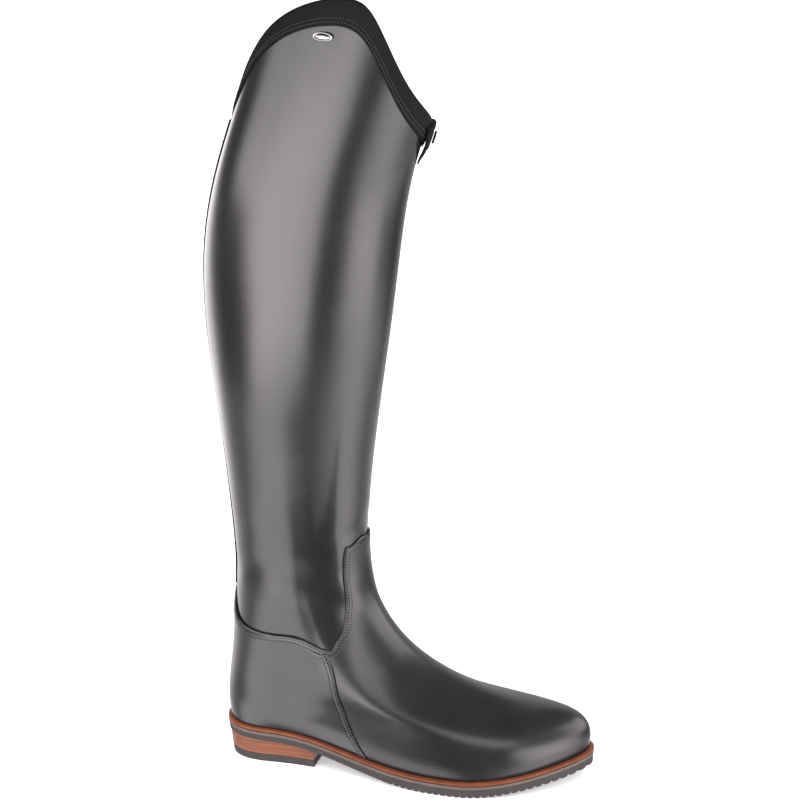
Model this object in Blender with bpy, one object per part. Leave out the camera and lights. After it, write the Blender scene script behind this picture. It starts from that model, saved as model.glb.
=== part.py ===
"""Tall dress riding boot for the right foot, standing empty on its sole.

The boot is built the way it is made: every leather piece lies on one last surface, and the
sole is a stack of layers that follow the last's bottom line.

Frame: metres, +Z up, +X towards the toe, -Y the outer (lateral) side of the foot.
The origin is on the floor, under the centre of the heel.
Sizes below are in millimetres, and stations are counted from the back of the heel.
"""
import math
from collections import namedtuple

import bmesh
import bpy
import numpy as np

MM = 0.001

# Driving sizes of the last
HEEL_CENTRE = 33.0        # station of the origin
LAST_LENGTH = 264.0       # station of the toe tip on the bottom edge
TOE_SWING = 9.0           # how far the toe tip lies towards the inner side
SWING_START = 95.0        # station where the foot starts to swing inwards
SWING_FADE_LOW = 130.0    # height where the swing starts to fade out
SWING_FADE_HIGH = 330.0   # height where nothing of it is left

# Sections of the last, from the bottom edge of the upper to the highest point of the top line.
# A section runs from a point on the back line to a point on the front line. Its half widths are
# given at the heel, the waist and the ball on the outer and inner side, and at the front.
# Its ends are rounded over a share of its length; half and half makes an ellipse.
# Follow is the share of the sole's arch that the section takes on.
Section = namedtuple(
    "Section", "back_x back_z front_x front_z heel waist_out waist_in ball_out ball_in front "
    "back_round front_round follow")
SECTIONS = [
    Section(5.6, 27.5, 263.0, 20.5, 30.0, 31.0, 25.0, 49.0, 38.5, 33.0, 0.13, 0.34, 1.00),
    Section(4.4, 34.5, 264.6, 30.8, 31.0, 32.0, 27.0, 49.0, 38.8, 32.0, 0.14, 0.35, 0.90),
    Section(3.8, 43.0, 259.8, 42.6, 31.5, 32.2, 28.5, 47.0, 38.0, 29.5, 0.15, 0.37, 0.70),
    Section(4.2, 53.5, 242.5, 50.6, 31.5, 32.0, 29.5, 43.5, 37.0, 26.5, 0.17, 0.42, 0.45),
    Section(5.8, 67.0, 208.5, 55.6, 31.5, 32.0, 30.5, 39.5, 35.5, 25.0, 0.20, 0.50, 0.25),
    Section(7.8, 84.0, 169.6, 68.0, 32.0, 32.5, 31.5, 35.4, 33.6, 25.0, 0.25, 0.56, 0.10),
    Section(9.2, 104.0, 135.6, 89.3, 32.5, 33.5, 33.0, 34.0, 33.5, 27.0, 0.32, 0.57, 0.00),
    Section(9.8, 128.0, 113.6, 120.5, 34.0, 35.0, 34.5, 34.5, 34.5, 30.5, 0.41, 0.53, 0.00),
    Section(9.2, 158.0, 106.4, 156.5, 36.0, 37.0, 37.0, 36.5, 36.5, 34.0, 0.48, 0.50, 0.00),
    Section(7.0, 195.0, 107.6, 195.0, 39.0, 40.0, 40.0, 39.0, 39.0, 36.0, 0.50, 0.50, 0.00),
    Section(3.2, 235.0, 111.8, 235.0, 43.0, 43.5, 43.5, 42.0, 42.0, 38.5, 0.50, 0.50, 0.00),
    Section(-2.2, 280.0, 118.0, 280.0, 47.0, 47.5, 47.5, 45.5, 45.5, 41.0, 0.50, 0.50, 0.00),
    Section(-6.6, 330.0, 125.5, 330.0, 50.0, 50.5, 50.5, 48.5, 48.5, 43.5, 0.50, 0.50, 0.00),
    Section(-5.2, 385.0, 133.0, 385.0, 51.0, 51.5, 51.5, 50.0, 50.0, 45.0, 0.50, 0.50, 0.00),
    Section(6.2, 440.0, 143.0, 440.0, 50.0, 51.0, 51.0, 50.0, 50.0, 45.0, 0.50, 0.50, 0.00),
    Section(25.8, 500.0, 162.0, 500.0, 48.0, 50.0, 50.0, 49.0, 49.0, 44.0, 0.50, 0.50, 0.00),
    Section(47.0, 570.0, 184.0, 570.0, 46.0, 48.0, 48.0, 48.0, 48.0, 43.0, 0.50, 0.50, 0.00),
]
WIDTH_PLACES = (0.0, 0.3, 0.68, 1.0)   # heel, waist, ball and front, as shares of a section

# The sole's side line: height of the upper's bottom edge and of the outsole's underside.
SoleRow = namedtuple("SoleRow", "station edge underside")
SOLE_ROWS = [
    SoleRow(0.0, 27.5, 18.2),
    SoleRow(35.0, 27.0, 17.6),
    SoleRow(66.0, 25.0, 15.4),
    SoleRow(90.0, 20.8, 10.9),
    SoleRow(110.0, 17.0, 6.6),
    SoleRow(130.0, 13.8, 2.6),
    SoleRow(150.0, 12.0, 0.3),
    SoleRow(172.0, 11.5, -0.2),
    SoleRow(192.0, 11.8, 0.2),
    SoleRow(212.0, 13.3, 1.8),
    SoleRow(237.0, 16.5, 5.2),
    SoleRow(266.0, 20.9, 9.6),
]

# Top line: height by angle round the shaft, from the front over the outer side to the back.
TopRow = namedtuple("TopRow", "angle height")
TOP_LINE = [
    TopRow(0.0, 479.0),
    TopRow(20.0, 490.0),
    TopRow(44.0, 512.5),
    TopRow(64.0, 542.0),
    TopRow(80.0, 563.5),
    TopRow(97.0, 568.5),
    TopRow(114.0, 563.5),
    TopRow(131.0, 552.5),
    TopRow(148.0, 534.0),
    TopRow(164.0, 509.5),
    TopRow(180.0, 487.5),
    TopRow(205.0, 469.0),
    TopRow(240.0, 460.0),
    TopRow(280.0, 458.0),
    TopRow(320.0, 464.0),
]

# Seam line: section number by angle, over the vamp's top edge and then the counter's.
SeamRow = namedtuple("SeamRow", "angle section")
SEAM_LINE = [
    SeamRow(0.0, 8.42),
    SeamRow(20.0, 8.43),
    SeamRow(34.0, 8.34),
    SeamRow(39.5, 8.05),
    SeamRow(42.5, 7.45),
    SeamRow(47.0, 7.05),
    SeamRow(55.0, 6.68),
    SeamRow(68.0, 6.26),
    SeamRow(78.0, 5.98),
    SeamRow(90.0, 6.16),
    SeamRow(108.0, 6.18),
    SeamRow(130.0, 6.08),
    SeamRow(150.0, 6.14),
    SeamRow(165.0, 6.42),
    SeamRow(180.0, 6.95),
]

# Front edge of the counter: angle by section number, then the columns straighten above it.
EdgeRow = namedtuple("EdgeRow", "section angle")
COUNTER_EDGE = [
    EdgeRow(0.0, 98.0),
    EdgeRow(1.4, 102.0),
    EdgeRow(2.4, 102.8),
    EdgeRow(3.8, 98.0),
    EdgeRow(4.8, 90.0),
    EdgeRow(5.9, 80.0),
    EdgeRow(7.4, 81.0),
    EdgeRow(9.5, 88.0),
    EdgeRow(12.0, 90.0),
    EdgeRow(16.0, 90.0),
]

# Leather and gaps
WALL = 2.2                # shaft leather and its lining
OVERLAY = 1.3             # vamp and trim leather
COUNTER_OVERLAY = 1.8     # the counter lies over the vamp's edge
GAP = 0.3                 # fitting gap between curved pieces
BAND_WIDTH = 17.0         # trim along the top line
BAND_INSIDE = 9.0         # how far the trim turns down inside
STRIP_PROUD = 1.6         # back strip's thickness
SQUARE_FOOT = 1.0         # up to this section the leather turns to stand square on the welt
ROLL_SHARE = 0.8          # how far the trim's rolled edge is rounded over
TRIM_INSIDE_GAP = 0.5     # the trim's inner leaf hangs free of the lining
SEAM_TRIM = 0.35          # degrees that keep the vamp and the counter from touching
STRIP_TRIM = (0.8, 0.8, 0.08, 0.03)   # degrees and sections that the back strip is cut back

# Sole layers
WELT_THICK = 2.5
WELT_LAP = 6.0            # how far the welt reaches in under the upper
WELT_OUT_HEEL = 4.8       # how far it shows round the heel
WELT_OUT_TOE = 5.6        # and round the forefoot
SPREAD_FROM = 60.0        # the welt widens from here
SPREAD_TO = 150.0         # to here
MIDSOLE_THICK = 2.2
MIDSOLE_INSET = 0.2
OUTSOLE_INSET = 0.7
INSOLE_THICK = 3.0
INSOLE_CLEAR = 0.6
OUTLINE_MARGIN = 0.35     # the layers' strips stop this short of the round ends
RIB_PITCH = 5.0           # tread ribs across the forefoot
RIB_DEPTH = 1.3
RIB_LAND = 2.6
RIB_START = 132.0
HEEL_BREAST = 72.0        # station of the heel's front face
HEEL_SPLAY = 1.6          # how much the heel narrows down to the floor
HEEL_INSET = 1.4
LIFT_THICK = 5.6
BREAST_CLEAR = 3.0        # no other station comes closer to the breast

# Mesh densities
FORE_COLUMNS = 12         # columns from the front line to the counter's edge
HEEL_COLUMNS = 10         # columns from there to the back line
FOOT_ROWS = 10            # rows up to the seam line
SHAFT_ROWS = 10           # rows from there to the trim
ROW_CROWDING = 1.15       # rows crowd towards the bottom edge
END_CROWDING = 0.38       # columns crowd towards the front and back lines
OUTLINE_STEPS = 56
OUTLINE_CROWDING = 13.0   # degrees; outline points crowd towards toe and heel
PLATE_STATIONS = 30
INSOLE_STATIONS = 26
HEEL_STATIONS = 26
END_STATIONS = 0.75       # share of the stations' spacing that crowds towards the ends
SMOOTH_UNDER = 40.0       # leather is shaded smooth up to this angle between faces
LAYER_SHARP = 30.0        # sole layers keep edges sharper than this

# Front tab and side stud
TAB_LENGTH = 30.0
TAB_WIDTH = 15.0
TAB_THICK = 3.0
TAB_ANGLE = -7.0
TAB_PROUD = 2.6           # how far its middle bows out
TAB_DROP = 1.0            # its root lies this far below the top line
TAB_BLUNT = 2.2           # how blunt its outline is, a power of the length
TAB_TIP = 0.06            # width left at the tip
TAB_THINNING = 0.55       # share of its thickness lost at the tip
TAB_STEPS = 9
TAB_ACROSS = 4
SHIN_RADIUS = 34.0        # turns a length across the front of the shaft into an angle
SNAP_DOWN = 0.3           # share of the tab's length above the snap
SNAP_WIDE = 9.0
SNAP_THICK = 1.6
STUD_ANGLE = 99.5
STUD_HEIGHT = 544.0
STUD_LONG = 14.0
STUD_TALL = 5.0
STUD_THICK = 1.6
CAP_PROFILE = ((0.0, 1.0), (0.45, 1.0), (0.85, 0.8), (1.0, 0.45))   # height and width shares
CAP_SIDES = 16


def natural_spline(places, values):
    """A smooth curve through a table's points; values may be a row of numbers each."""
    places = np.asarray(places, float)
    values = np.asarray(values, float)
    count = len(places)
    step = np.diff(places)
    matrix = np.eye(count)
    right = np.zeros(values.shape)
    for i in range(1, count - 1):
        matrix[i, i - 1:i + 2] = step[i - 1], 2 * (step[i - 1] + step[i]), step[i]
        after = (values[i + 1] - values[i]) / step[i]
        before = (values[i] - values[i - 1]) / step[i - 1]
        right[i] = 6 * (after - before)
    bend = np.linalg.solve(matrix, right)

    def curve(place):
        place = np.clip(np.asarray(place, float), places[0], places[-1])
        i = np.clip(np.searchsorted(places, place, side="right") - 1, 0, count - 2)
        past, left, width = place - places[i], places[i + 1] - place, step[i]
        if values.ndim == 2:
            past, left, width = past[..., None], left[..., None], width[..., None]
        return ((bend[i] * left ** 3 + bend[i + 1] * past ** 3) / (6 * width)
                + (values[i] / width - bend[i] * width / 6) * left
                + (values[i + 1] / width - bend[i + 1] * width / 6) * past)

    return curve


def ring_spline(rows):
    """A spline through (angle, value) rows that closes on itself after 360 degrees."""
    before = [(angle - 360.0, value) for angle, value in rows]
    after = [(angle + 360.0, value) for angle, value in rows]
    curve = natural_spline(*zip(*(before[-4:] + list(rows) + after[:4])))
    return lambda angle: curve(np.mod(angle, 360.0))


def mirror_angle(angle):
    """The same angle counted on the outer side, 0 at the front and 180 at the back."""
    angle = np.mod(angle, 360.0)
    return np.where(angle > 180.0, 360.0 - angle, angle)


section_at = natural_spline(range(len(SECTIONS)), SECTIONS)
edge_height = natural_spline([row.station for row in SOLE_ROWS], [row.edge for row in SOLE_ROWS])
underside_line = natural_spline([row.station for row in SOLE_ROWS],
                                [row.underside for row in SOLE_ROWS])
top_height = ring_spline(TOP_LINE)
seam_section = natural_spline(*zip(*SEAM_LINE))
counter_edge = natural_spline(*zip(*COUNTER_EDGE))
FINE_SECTIONS = np.linspace(7.0, len(SECTIONS) - 1, 600)
FINE_HEIGHTS = section_at(FINE_SECTIONS)[:, 3]


def section_of_height(height):
    """The section number at a height on the shaft."""
    return np.interp(height, FINE_HEIGHTS, FINE_SECTIONS)


def underside(station):
    """Height of the outsole's underside, flat on the floor under the ball."""
    return np.maximum(underside_line(station), 0.0)


def end_round(share, reach):
    """How wide a section is near one end, 0 at the end and 1 past its rounded part."""
    power = 2.0 + (0.5 - np.minimum(reach, 0.5))
    return np.sqrt(np.maximum(1 - np.maximum(1 - share / reach, 0) ** power, 0))


def last_point(angle, section):
    """A point of the last surface: angle round the boot in degrees, section number up it."""
    angle, section = np.broadcast_arrays(np.asarray(angle, float), np.asarray(section, float))
    turn = np.radians(angle)
    row = Section(*np.moveaxis(section_at(section), -1, 0))
    share = 0.5 * (1 + np.cos(turn))
    outer = np.sin(turn) >= 0
    widths = (row.heel, np.where(outer, row.waist_out, row.waist_in),
              np.where(outer, row.ball_out, row.ball_in), row.front)
    width = 0.0
    for i, place in enumerate(WIDTH_PLACES):
        weight = 1.0
        for j, other in enumerate(WIDTH_PLACES):
            if j != i:
                weight = weight * (share - other) / (place - other)
        width = width + widths[i] * weight
    roundness = end_round(share, row.back_round) * end_round(1 - share, row.front_round)
    x = row.back_x + (row.front_x - row.back_x) * share
    straight = edge_height(0.0) + (edge_height(LAST_LENGTH) - edge_height(0.0)) * share
    z = row.back_z + (row.front_z - row.back_z) * share + row.follow * (edge_height(x) - straight)
    swing = np.clip((x - SWING_START) / (LAST_LENGTH - SWING_START), 0, 1) ** 2
    fade = np.clip((SWING_FADE_HIGH - z) / (SWING_FADE_HIGH - SWING_FADE_LOW), 0, 1) ** 2
    y = np.where(outer, -1, 1) * width * roundness + TOE_SWING * swing * fade
    return np.stack([x, y, z], -1)


def skin(angle, section, offset):
    """A point at a distance outside the last surface."""
    angle, section = np.broadcast_arrays(np.asarray(angle, float), np.asarray(section, float))
    d_angle, d_section = 1.0, 0.02
    low = np.maximum(section - d_section, 0.0)
    high = np.minimum(section + d_section, len(SECTIONS) - 1.0)
    up = last_point(angle, high) - last_point(angle, low)
    round_ = last_point(angle + d_angle, section) - last_point(angle - d_angle, section)
    normal = np.cross(up, round_)
    normal[..., 2] *= np.clip(section / SQUARE_FOOT, 0, 1)
    normal = normal / np.linalg.norm(normal, axis=-1, keepdims=True)
    return last_point(angle, section) + normal * np.asarray(offset, float)[..., None]


def world(points):
    """From stations in millimetres to the boot's frame in metres."""
    return (np.asarray(points, float) - np.array((HEEL_CENTRE, 0.0, 0.0))) * MM


def crowded(share):
    """Even steps become shorter towards 0."""
    return share * (1 - END_CROWDING) + END_CROWDING * share ** 2


def column_angle(column, section):
    """Angle of a mesh column; one column follows the counter's front edge on each side."""
    half = FORE_COLUMNS + HEEL_COLUMNS
    inner_side = column > half
    near = 2 * half - column if inner_side else column
    edge = counter_edge(section)
    if near <= FORE_COLUMNS:
        angle = edge * crowded(near / FORE_COLUMNS)
    else:
        angle = 180.0 - (180.0 - edge) * crowded((half - near) / HEEL_COLUMNS)
    return 360.0 - angle if inner_side else angle


def row_section(row, angle):
    """Section number of a mesh row: bottom edge, seam line, foot of the trim, top line."""
    seam = seam_section(mirror_angle(angle))
    if row <= FOOT_ROWS:
        return seam * (row / FOOT_ROWS) ** ROW_CROWDING
    trim = section_of_height(top_height(angle) - BAND_WIDTH)
    if row <= FOOT_ROWS + SHAFT_ROWS:
        return seam + (trim - seam) * (row - FOOT_ROWS) / SHAFT_ROWS
    return section_of_height(top_height(angle))


def mesh_place(column, row):
    """Angle and section where a column crosses a row, found by stepping towards both."""
    section = 6.0
    for _ in range(12):
        angle = column_angle(column, section)
        section = float(row_section(row, angle))
    return float(column_angle(column, section)), section


HALF_COLUMNS = FORE_COLUMNS + HEEL_COLUMNS
ALL_COLUMNS = 2 * HALF_COLUMNS
TRIM_ROW = FOOT_ROWS + SHAFT_ROWS
TOP_ROW = TRIM_ROW + 1
PLACES = np.array([[mesh_place(column, row) for row in range(TOP_ROW + 1)]
                   for column in range(ALL_COLUMNS)])


def material(name, colour, roughness, metallic=0.0):
    """A plain Principled material."""
    made = bpy.data.materials.new(name)
    made.use_nodes = True
    shader = made.node_tree.nodes["Principled BSDF"]
    shader.inputs["Base Color"].default_value = (*colour, 1.0)
    shader.inputs["Roughness"].default_value = roughness
    shader.inputs["Metallic"].default_value = metallic
    made.diffuse_color = (*colour, 1.0)
    return made


def finish_object(name, mesh_data, look, sharp=SMOOTH_UNDER):
    """Closes a bmesh into a named object with outward faces and smooth round parts."""
    bmesh.ops.recalc_face_normals(mesh_data, faces=mesh_data.faces)
    mesh = bpy.data.meshes.new(name)
    mesh_data.to_mesh(mesh)
    mesh_data.free()
    mesh.materials.append(look)
    mesh.shade_smooth()
    mesh.set_sharp_from_angle(angle=math.radians(sharp))
    made = bpy.data.objects.new(name, mesh)
    bpy.context.scene.collection.objects.link(made)
    return made


def add_patch(mesh_data, grid, closed, mirrored=()):
    """Faces over a grid of vertices, two triangles to a cell. Cells that start at a mirrored
    column are split the other way, so that both sides of the boot have the same facets."""
    columns = len(grid)
    for i in range(columns if closed else columns - 1):
        here, there = grid[i], grid[(i + 1) % columns]
        if i in mirrored:
            here, there = there, here
        for j in range(len(here) - 1):
            mesh_data.faces.new((here[j], there[j], there[j + 1]))
            mesh_data.faces.new((here[j], there[j + 1], here[j + 1]))


def shell(name, columns, rows, inner, outer, look, closed=False, trims=(0, 0, 0, 0)):
    """A leather piece: the part of the last surface between two columns and two rows,
    from one distance outside it to another. Trims shorten the start and end columns by
    degrees, and the first and last rows by sections."""
    first, last_column, low, high = trims
    places = np.array([[PLACES[c % ALL_COLUMNS][r] for r in rows] for c in columns])
    if not closed:
        places[0, :, 0] += first
        places[-1, :, 0] -= last_column
    places[:, 0, 1] += low
    places[:, -1, 1] -= high
    mirrored = {i for i, c in enumerate(columns) if c % ALL_COLUMNS >= HALF_COLUMNS}
    mesh_data = bmesh.new()
    layers = []
    for offset in (inner, outer):
        points = world(skin(places[..., 0], places[..., 1], offset))
        layers.append([[mesh_data.verts.new(p) for p in column] for column in points])
    for layer in layers:
        add_patch(mesh_data, layer, closed, mirrored)
    inside, outside = layers
    for j in (0, -1):
        rim = [[a[j], b[j]] for a, b in zip(inside, outside)]
        add_patch(mesh_data, rim, closed, mirrored)
    if not closed:
        for i in (0, -1):
            add_patch(mesh_data, [inside[i], outside[i]], False)
    return finish_object(name, mesh_data, look)


def make_trim(look):
    """The soft band along the top line, folded over the edge and down inside."""
    mesh_data = bmesh.new()
    profile = []
    for column in range(ALL_COLUMNS):
        angle, foot = PLACES[column][TRIM_ROW]
        angle, top = PLACES[column][TOP_ROW]
        inside_foot = float(section_of_height(top_height(angle) - BAND_INSIDE))
        outer, inner = GAP + OVERLAY, -WALL - TRIM_INSIDE_GAP
        round_out = outer - OVERLAY * ROLL_SHARE
        round_in = inner - OVERLAY * (1 - ROLL_SHARE)
        corners = [(foot, GAP, 0), (foot, outer, 0), (top, outer, GAP),
                   (top, round_out, GAP + OVERLAY), (top, round_in, GAP + OVERLAY),
                   (top, inner - OVERLAY, GAP), (inside_foot, inner - OVERLAY, 0),
                   (inside_foot, inner, 0), (top, inner, GAP), (top, GAP, GAP)]
        points = [skin(angle, section, offset) + np.array((0, 0, rise))
                  for section, offset, rise in corners]
        profile.append([mesh_data.verts.new(p) for p in world(points)])
    mirrored = range(HALF_COLUMNS, ALL_COLUMNS)
    add_patch(mesh_data, profile, True, mirrored)
    add_patch(mesh_data, [[ring[0], ring[-1]] for ring in profile], True, mirrored)
    return finish_object("top_band", mesh_data, look)


def outline(spread_heel, spread_toe):
    """The bottom edge of the upper seen from above, moved outwards at heel and forefoot."""
    even = np.linspace(0.0, 360.0, OUTLINE_STEPS, endpoint=False)
    angle = even - OUTLINE_CROWDING * np.sin(np.radians(2 * even))
    edge = last_point(angle, 0.0)[:, :2]
    along = last_point(angle + 0.5, 0.0)[:, :2] - last_point(angle - 0.5, 0.0)[:, :2]
    outward = np.stack([-along[:, 1], along[:, 0]], -1)
    outward = outward / np.linalg.norm(outward, axis=1, keepdims=True)
    forward = np.clip((edge[:, 0] - SPREAD_FROM) / (SPREAD_TO - SPREAD_FROM), 0, 1)
    spread = spread_heel + (spread_toe - spread_heel) * forward
    return edge + outward * spread[:, None]


def half_widths(edge, stations):
    """Outer and inner side of an outline at each station."""
    order = np.argmin(edge[:, 0])
    turned = np.roll(edge, -order, axis=0)
    tip = np.argmax(turned[:, 0])
    one, two = turned[:tip + 1], np.vstack([turned[tip:], turned[:1]])[::-1]
    sides = [np.interp(stations, side[:, 0], side[:, 1]) for side in (one, two)]
    return np.minimum(*sides), np.maximum(*sides)


def plate(name, edge, stations, top, bottom, look):
    """A sole layer: a strip of sections across an outline, with heights by station."""
    outer, inner = half_widths(edge, stations)
    mesh_data = bmesh.new()
    grid = []
    for x, left, right, high, low in zip(stations, outer, inner, top, bottom):
        corners = [(x, left, low), (x, left, high), (x, right, high), (x, right, low)]
        grid.append([mesh_data.verts.new(p) for p in world(corners)])
    add_patch(mesh_data, [ring + [ring[0]] for ring in grid], False)
    for ring in (grid[0], grid[-1]):
        mesh_data.faces.new(ring)
    return finish_object(name, mesh_data, look, LAYER_SHARP)


def spaced(start, end, count):
    """Stations that crowd towards both round ends of an outline."""
    wave = (1 - np.cos(np.linspace(0.0, math.pi, count))) / 2
    share = END_STATIONS * wave + (1 - END_STATIONS) * np.linspace(0.0, 1.0, count)
    return start + OUTLINE_MARGIN + (end - start - 2 * OUTLINE_MARGIN) * share


def make_welt(look):
    """The strip that the upper stands on, a flat ring with rounded-off corners in plan."""
    outside = outline(WELT_OUT_HEEL, WELT_OUT_TOE)
    inside = outline(-WELT_LAP, -WELT_LAP)
    mesh_data = bmesh.new()
    rings = []
    for out, into in zip(outside, inside):
        high_out, high_in = (edge_height(p[0]) - GAP for p in (out, into))
        corners = [(*out, high_out - WELT_THICK), (*out, high_out),
                   (*into, high_in), (*into, high_in - WELT_THICK)]
        rings.append([mesh_data.verts.new(p) for p in world(corners)])
    add_patch(mesh_data, [ring + [ring[0]] for ring in rings], True)
    return finish_object("welt", mesh_data, look, LAYER_SHARP)


def make_sole(midsole_look, outsole_look, heel_look, lift_look, insole_look):
    """Insole, midsole, ribbed outsole, heel stack and top lift."""
    edge = outline(WELT_OUT_HEEL - MIDSOLE_INSET, WELT_OUT_TOE - MIDSOLE_INSET)
    stations = spaced(edge[:, 0].min(), edge[:, 0].max(), PLATE_STATIONS)
    top = edge_height(stations) - WELT_THICK - 2 * GAP
    plate("midsole", edge, stations, top, top - MIDSOLE_THICK, midsole_look)

    edge = outline(-WALL - INSOLE_CLEAR, -WALL - INSOLE_CLEAR)
    stations = spaced(edge[:, 0].min(), edge[:, 0].max(), INSOLE_STATIONS)
    low = edge_height(stations)
    plate("insole", edge, stations, low + INSOLE_THICK, low, insole_look)

    edge = outline(WELT_OUT_HEEL - OUTSOLE_INSET, WELT_OUT_TOE - OUTSOLE_INSET)
    end = edge[:, 0].max()
    stations = [x for x in spaced(edge[:, 0].min(), end, PLATE_STATIONS) if x < RIB_START]
    depths = [0.0] * len(stations)
    rib = RIB_START
    while rib < end - RIB_PITCH:
        stations += [rib, rib + RIB_LAND, rib + (RIB_LAND + RIB_PITCH) / 2]
        depths += [0.0, 0.0, RIB_DEPTH]
        rib += RIB_PITCH
    stations += [rib, (rib + end) / 2, end - OUTLINE_MARGIN]
    depths += [0.0, 0.0, 0.0]
    stations = np.array(stations)
    top = edge_height(stations) - WELT_THICK - MIDSOLE_THICK - 3 * GAP
    plate("outsole", edge, stations, top, underside(stations) + np.array(depths), outsole_look)

    heel_top = outline(WELT_OUT_HEEL - HEEL_INSET, WELT_OUT_TOE)
    stations = spaced(heel_top[:, 0].min(), 2 * HEEL_BREAST, HEEL_STATIONS)
    stations = np.append(stations[stations < HEEL_BREAST - BREAST_CLEAR], HEEL_BREAST)
    heel_layer("heel_stack", stations, LIFT_THICK + GAP, underside(stations) - GAP, heel_look)
    heel_layer("heel_top_lift", stations, 0.0, np.full(len(stations), LIFT_THICK), lift_look)


def heel_layer(name, stations, low, high, look):
    """A layer of the heel; its outline draws in evenly from the seat down to the floor."""
    mesh_data = bmesh.new()
    seat = underside(0.0)
    grid = []
    full = outline(WELT_OUT_HEEL - HEEL_INSET, WELT_OUT_TOE)
    outer, inner = half_widths(full, stations)
    half = (inner - outer) / 2
    for x, y, z_high in zip(stations, half, high):
        ring = []
        for z, side in ((low, -1), (z_high, -1), (z_high, 1), (low, 1)):
            draw_in = HEEL_SPLAY * (1 - z / seat)
            share = x / HEEL_BREAST
            ring.append((x + draw_in * (1 - share), side * (y - draw_in), z))
        grid.append([mesh_data.verts.new(p) for p in world(ring)])
    add_patch(mesh_data, [ring + [ring[0]] for ring in grid], False)
    for ring in (grid[0], grid[-1]):
        mesh_data.faces.new(ring)
    return finish_object(name, mesh_data, look, LAYER_SHARP)


def tab_lift(share):
    """How far the tab's back face lies outside the last surface, root to tip."""
    return GAP + OVERLAY + GAP + TAB_PROUD * 4 * share * (1 - share)


def make_tab(leather_look, snap_look):
    """The folded leaf tab that hangs over the front of the top line, and its snap."""
    root = float(top_height(TAB_ANGLE)) - TAB_DROP
    mesh_data = bmesh.new()
    layers = []
    for layer in (0, 1):
        grid = []
        for i in range(TAB_STEPS + 1):
            share = i / TAB_STEPS
            height = root - TAB_LENGTH * share
            half = TAB_WIDTH / 2 * max(1 - share ** TAB_BLUNT, TAB_TIP)
            lift = tab_lift(share) + layer * TAB_THICK * (1 - TAB_THINNING * share)
            column = []
            for j in range(TAB_ACROSS + 1):
                sideways = half * (2 * j / TAB_ACROSS - 1)
                angle = TAB_ANGLE + math.degrees(sideways / SHIN_RADIUS)
                column.append(skin(angle, float(section_of_height(height)), lift))
            grid.append([mesh_data.verts.new(p) for p in world(column)])
        layers.append(grid)
    for grid in layers:
        add_patch(mesh_data, grid, False)
    back, front = layers
    for i in (0, -1):
        add_patch(mesh_data, [back[i], front[i]], False)
    for j in (0, -1):
        add_patch(mesh_data, [[a[j] for a in back], [b[j] for b in front]], False)
    finish_object("front_tab", mesh_data, leather_look)

    section = float(section_of_height(root - TAB_LENGTH * SNAP_DOWN))
    foot = tab_lift(SNAP_DOWN) + TAB_THICK * (1 - TAB_THINNING * SNAP_DOWN) + 3 * GAP
    cap("tab_snap", TAB_ANGLE, section, foot, SNAP_WIDE, SNAP_WIDE, SNAP_THICK, snap_look)


def local_frame(angle, section, offset):
    """A point on the boot with its outward, upward and sideways directions."""
    centre = skin(angle, section, offset)
    outward = skin(angle, section, offset + 1.0) - centre
    upward = last_point(angle, section + 0.05) - last_point(angle, section - 0.05)
    upward = upward - outward * (upward @ outward)
    upward = upward / np.linalg.norm(upward)
    return centre, outward, upward, np.cross(upward, outward)


def cap(name, angle, section, offset, wide, tall, thick, look):
    """A round or oval button lying on the leather, with a softly rounded face."""
    centre, outward, upward, sideways = local_frame(angle, section, offset)
    mesh_data = bmesh.new()
    rings = []
    for level, size in CAP_PROFILE:
        ring = []
        for k in range(CAP_SIDES):
            turn = 2 * math.pi * k / CAP_SIDES
            around = sideways * wide / 2 * math.cos(turn) + upward * tall / 2 * math.sin(turn)
            spot = centre + outward * thick * level + around * size
            ring.append(mesh_data.verts.new(world(spot)))
        rings.append(ring)
    columns = [list(column) for column in zip(*rings)]
    add_patch(mesh_data, columns, True)
    mesh_data.faces.new(rings[0])
    mesh_data.faces.new(rings[-1])
    return finish_object(name, mesh_data, look)


def clear_scene():
    for old in list(bpy.data.objects):
        bpy.data.objects.remove(old, do_unlink=True)


def build_boot():
    polished = material("polished_black_leather", (0.030, 0.028, 0.031), 0.26)
    soft = material("soft_black_leather", (0.012, 0.011, 0.011), 0.62)
    rust = material("rust_welt_leather", (0.235, 0.060, 0.034), 0.45)
    taupe = material("taupe_midsole_edge", (0.250, 0.165, 0.140), 0.55)
    grey = material("grey_rubber", (0.100, 0.082, 0.082), 0.60)
    tan = material("tan_stacked_leather", (0.400, 0.160, 0.105), 0.42)
    lining = material("tan_insole_leather", (0.300, 0.185, 0.105), 0.70)
    steel = material("bright_metal", (0.620, 0.620, 0.630), 0.25, 1.0)

    every_row = range(TOP_ROW + 1)
    shell("upper", range(ALL_COLUMNS), every_row, -WALL, 0.0, polished, closed=True)
    foot_rows = range(FOOT_ROWS + 1)
    fore = range(ALL_COLUMNS - FORE_COLUMNS, ALL_COLUMNS + FORE_COLUMNS + 1)
    shell("vamp", fore, foot_rows, GAP, GAP + OVERLAY, polished,
          trims=(SEAM_TRIM, SEAM_TRIM, 0, 0))
    heel = range(FORE_COLUMNS, ALL_COLUMNS - FORE_COLUMNS + 1)
    shell("counter", heel, foot_rows, GAP, GAP + COUNTER_OVERLAY, polished,
          trims=(SEAM_TRIM, SEAM_TRIM, 0, 0))
    back = range(HALF_COLUMNS - 1, HALF_COLUMNS + 2)
    shell("back_strip", back, range(FOOT_ROWS, TRIM_ROW + 1), GAP, GAP + STRIP_PROUD, soft,
          trims=STRIP_TRIM)
    make_trim(soft)
    make_tab(soft, soft)
    section = float(section_of_height(STUD_HEIGHT))
    cap("side_stud", STUD_ANGLE, section, GAP, STUD_LONG, STUD_TALL, STUD_THICK, steel)
    make_welt(rust)
    make_sole(taupe, grey, tan, grey, lining)


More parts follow.
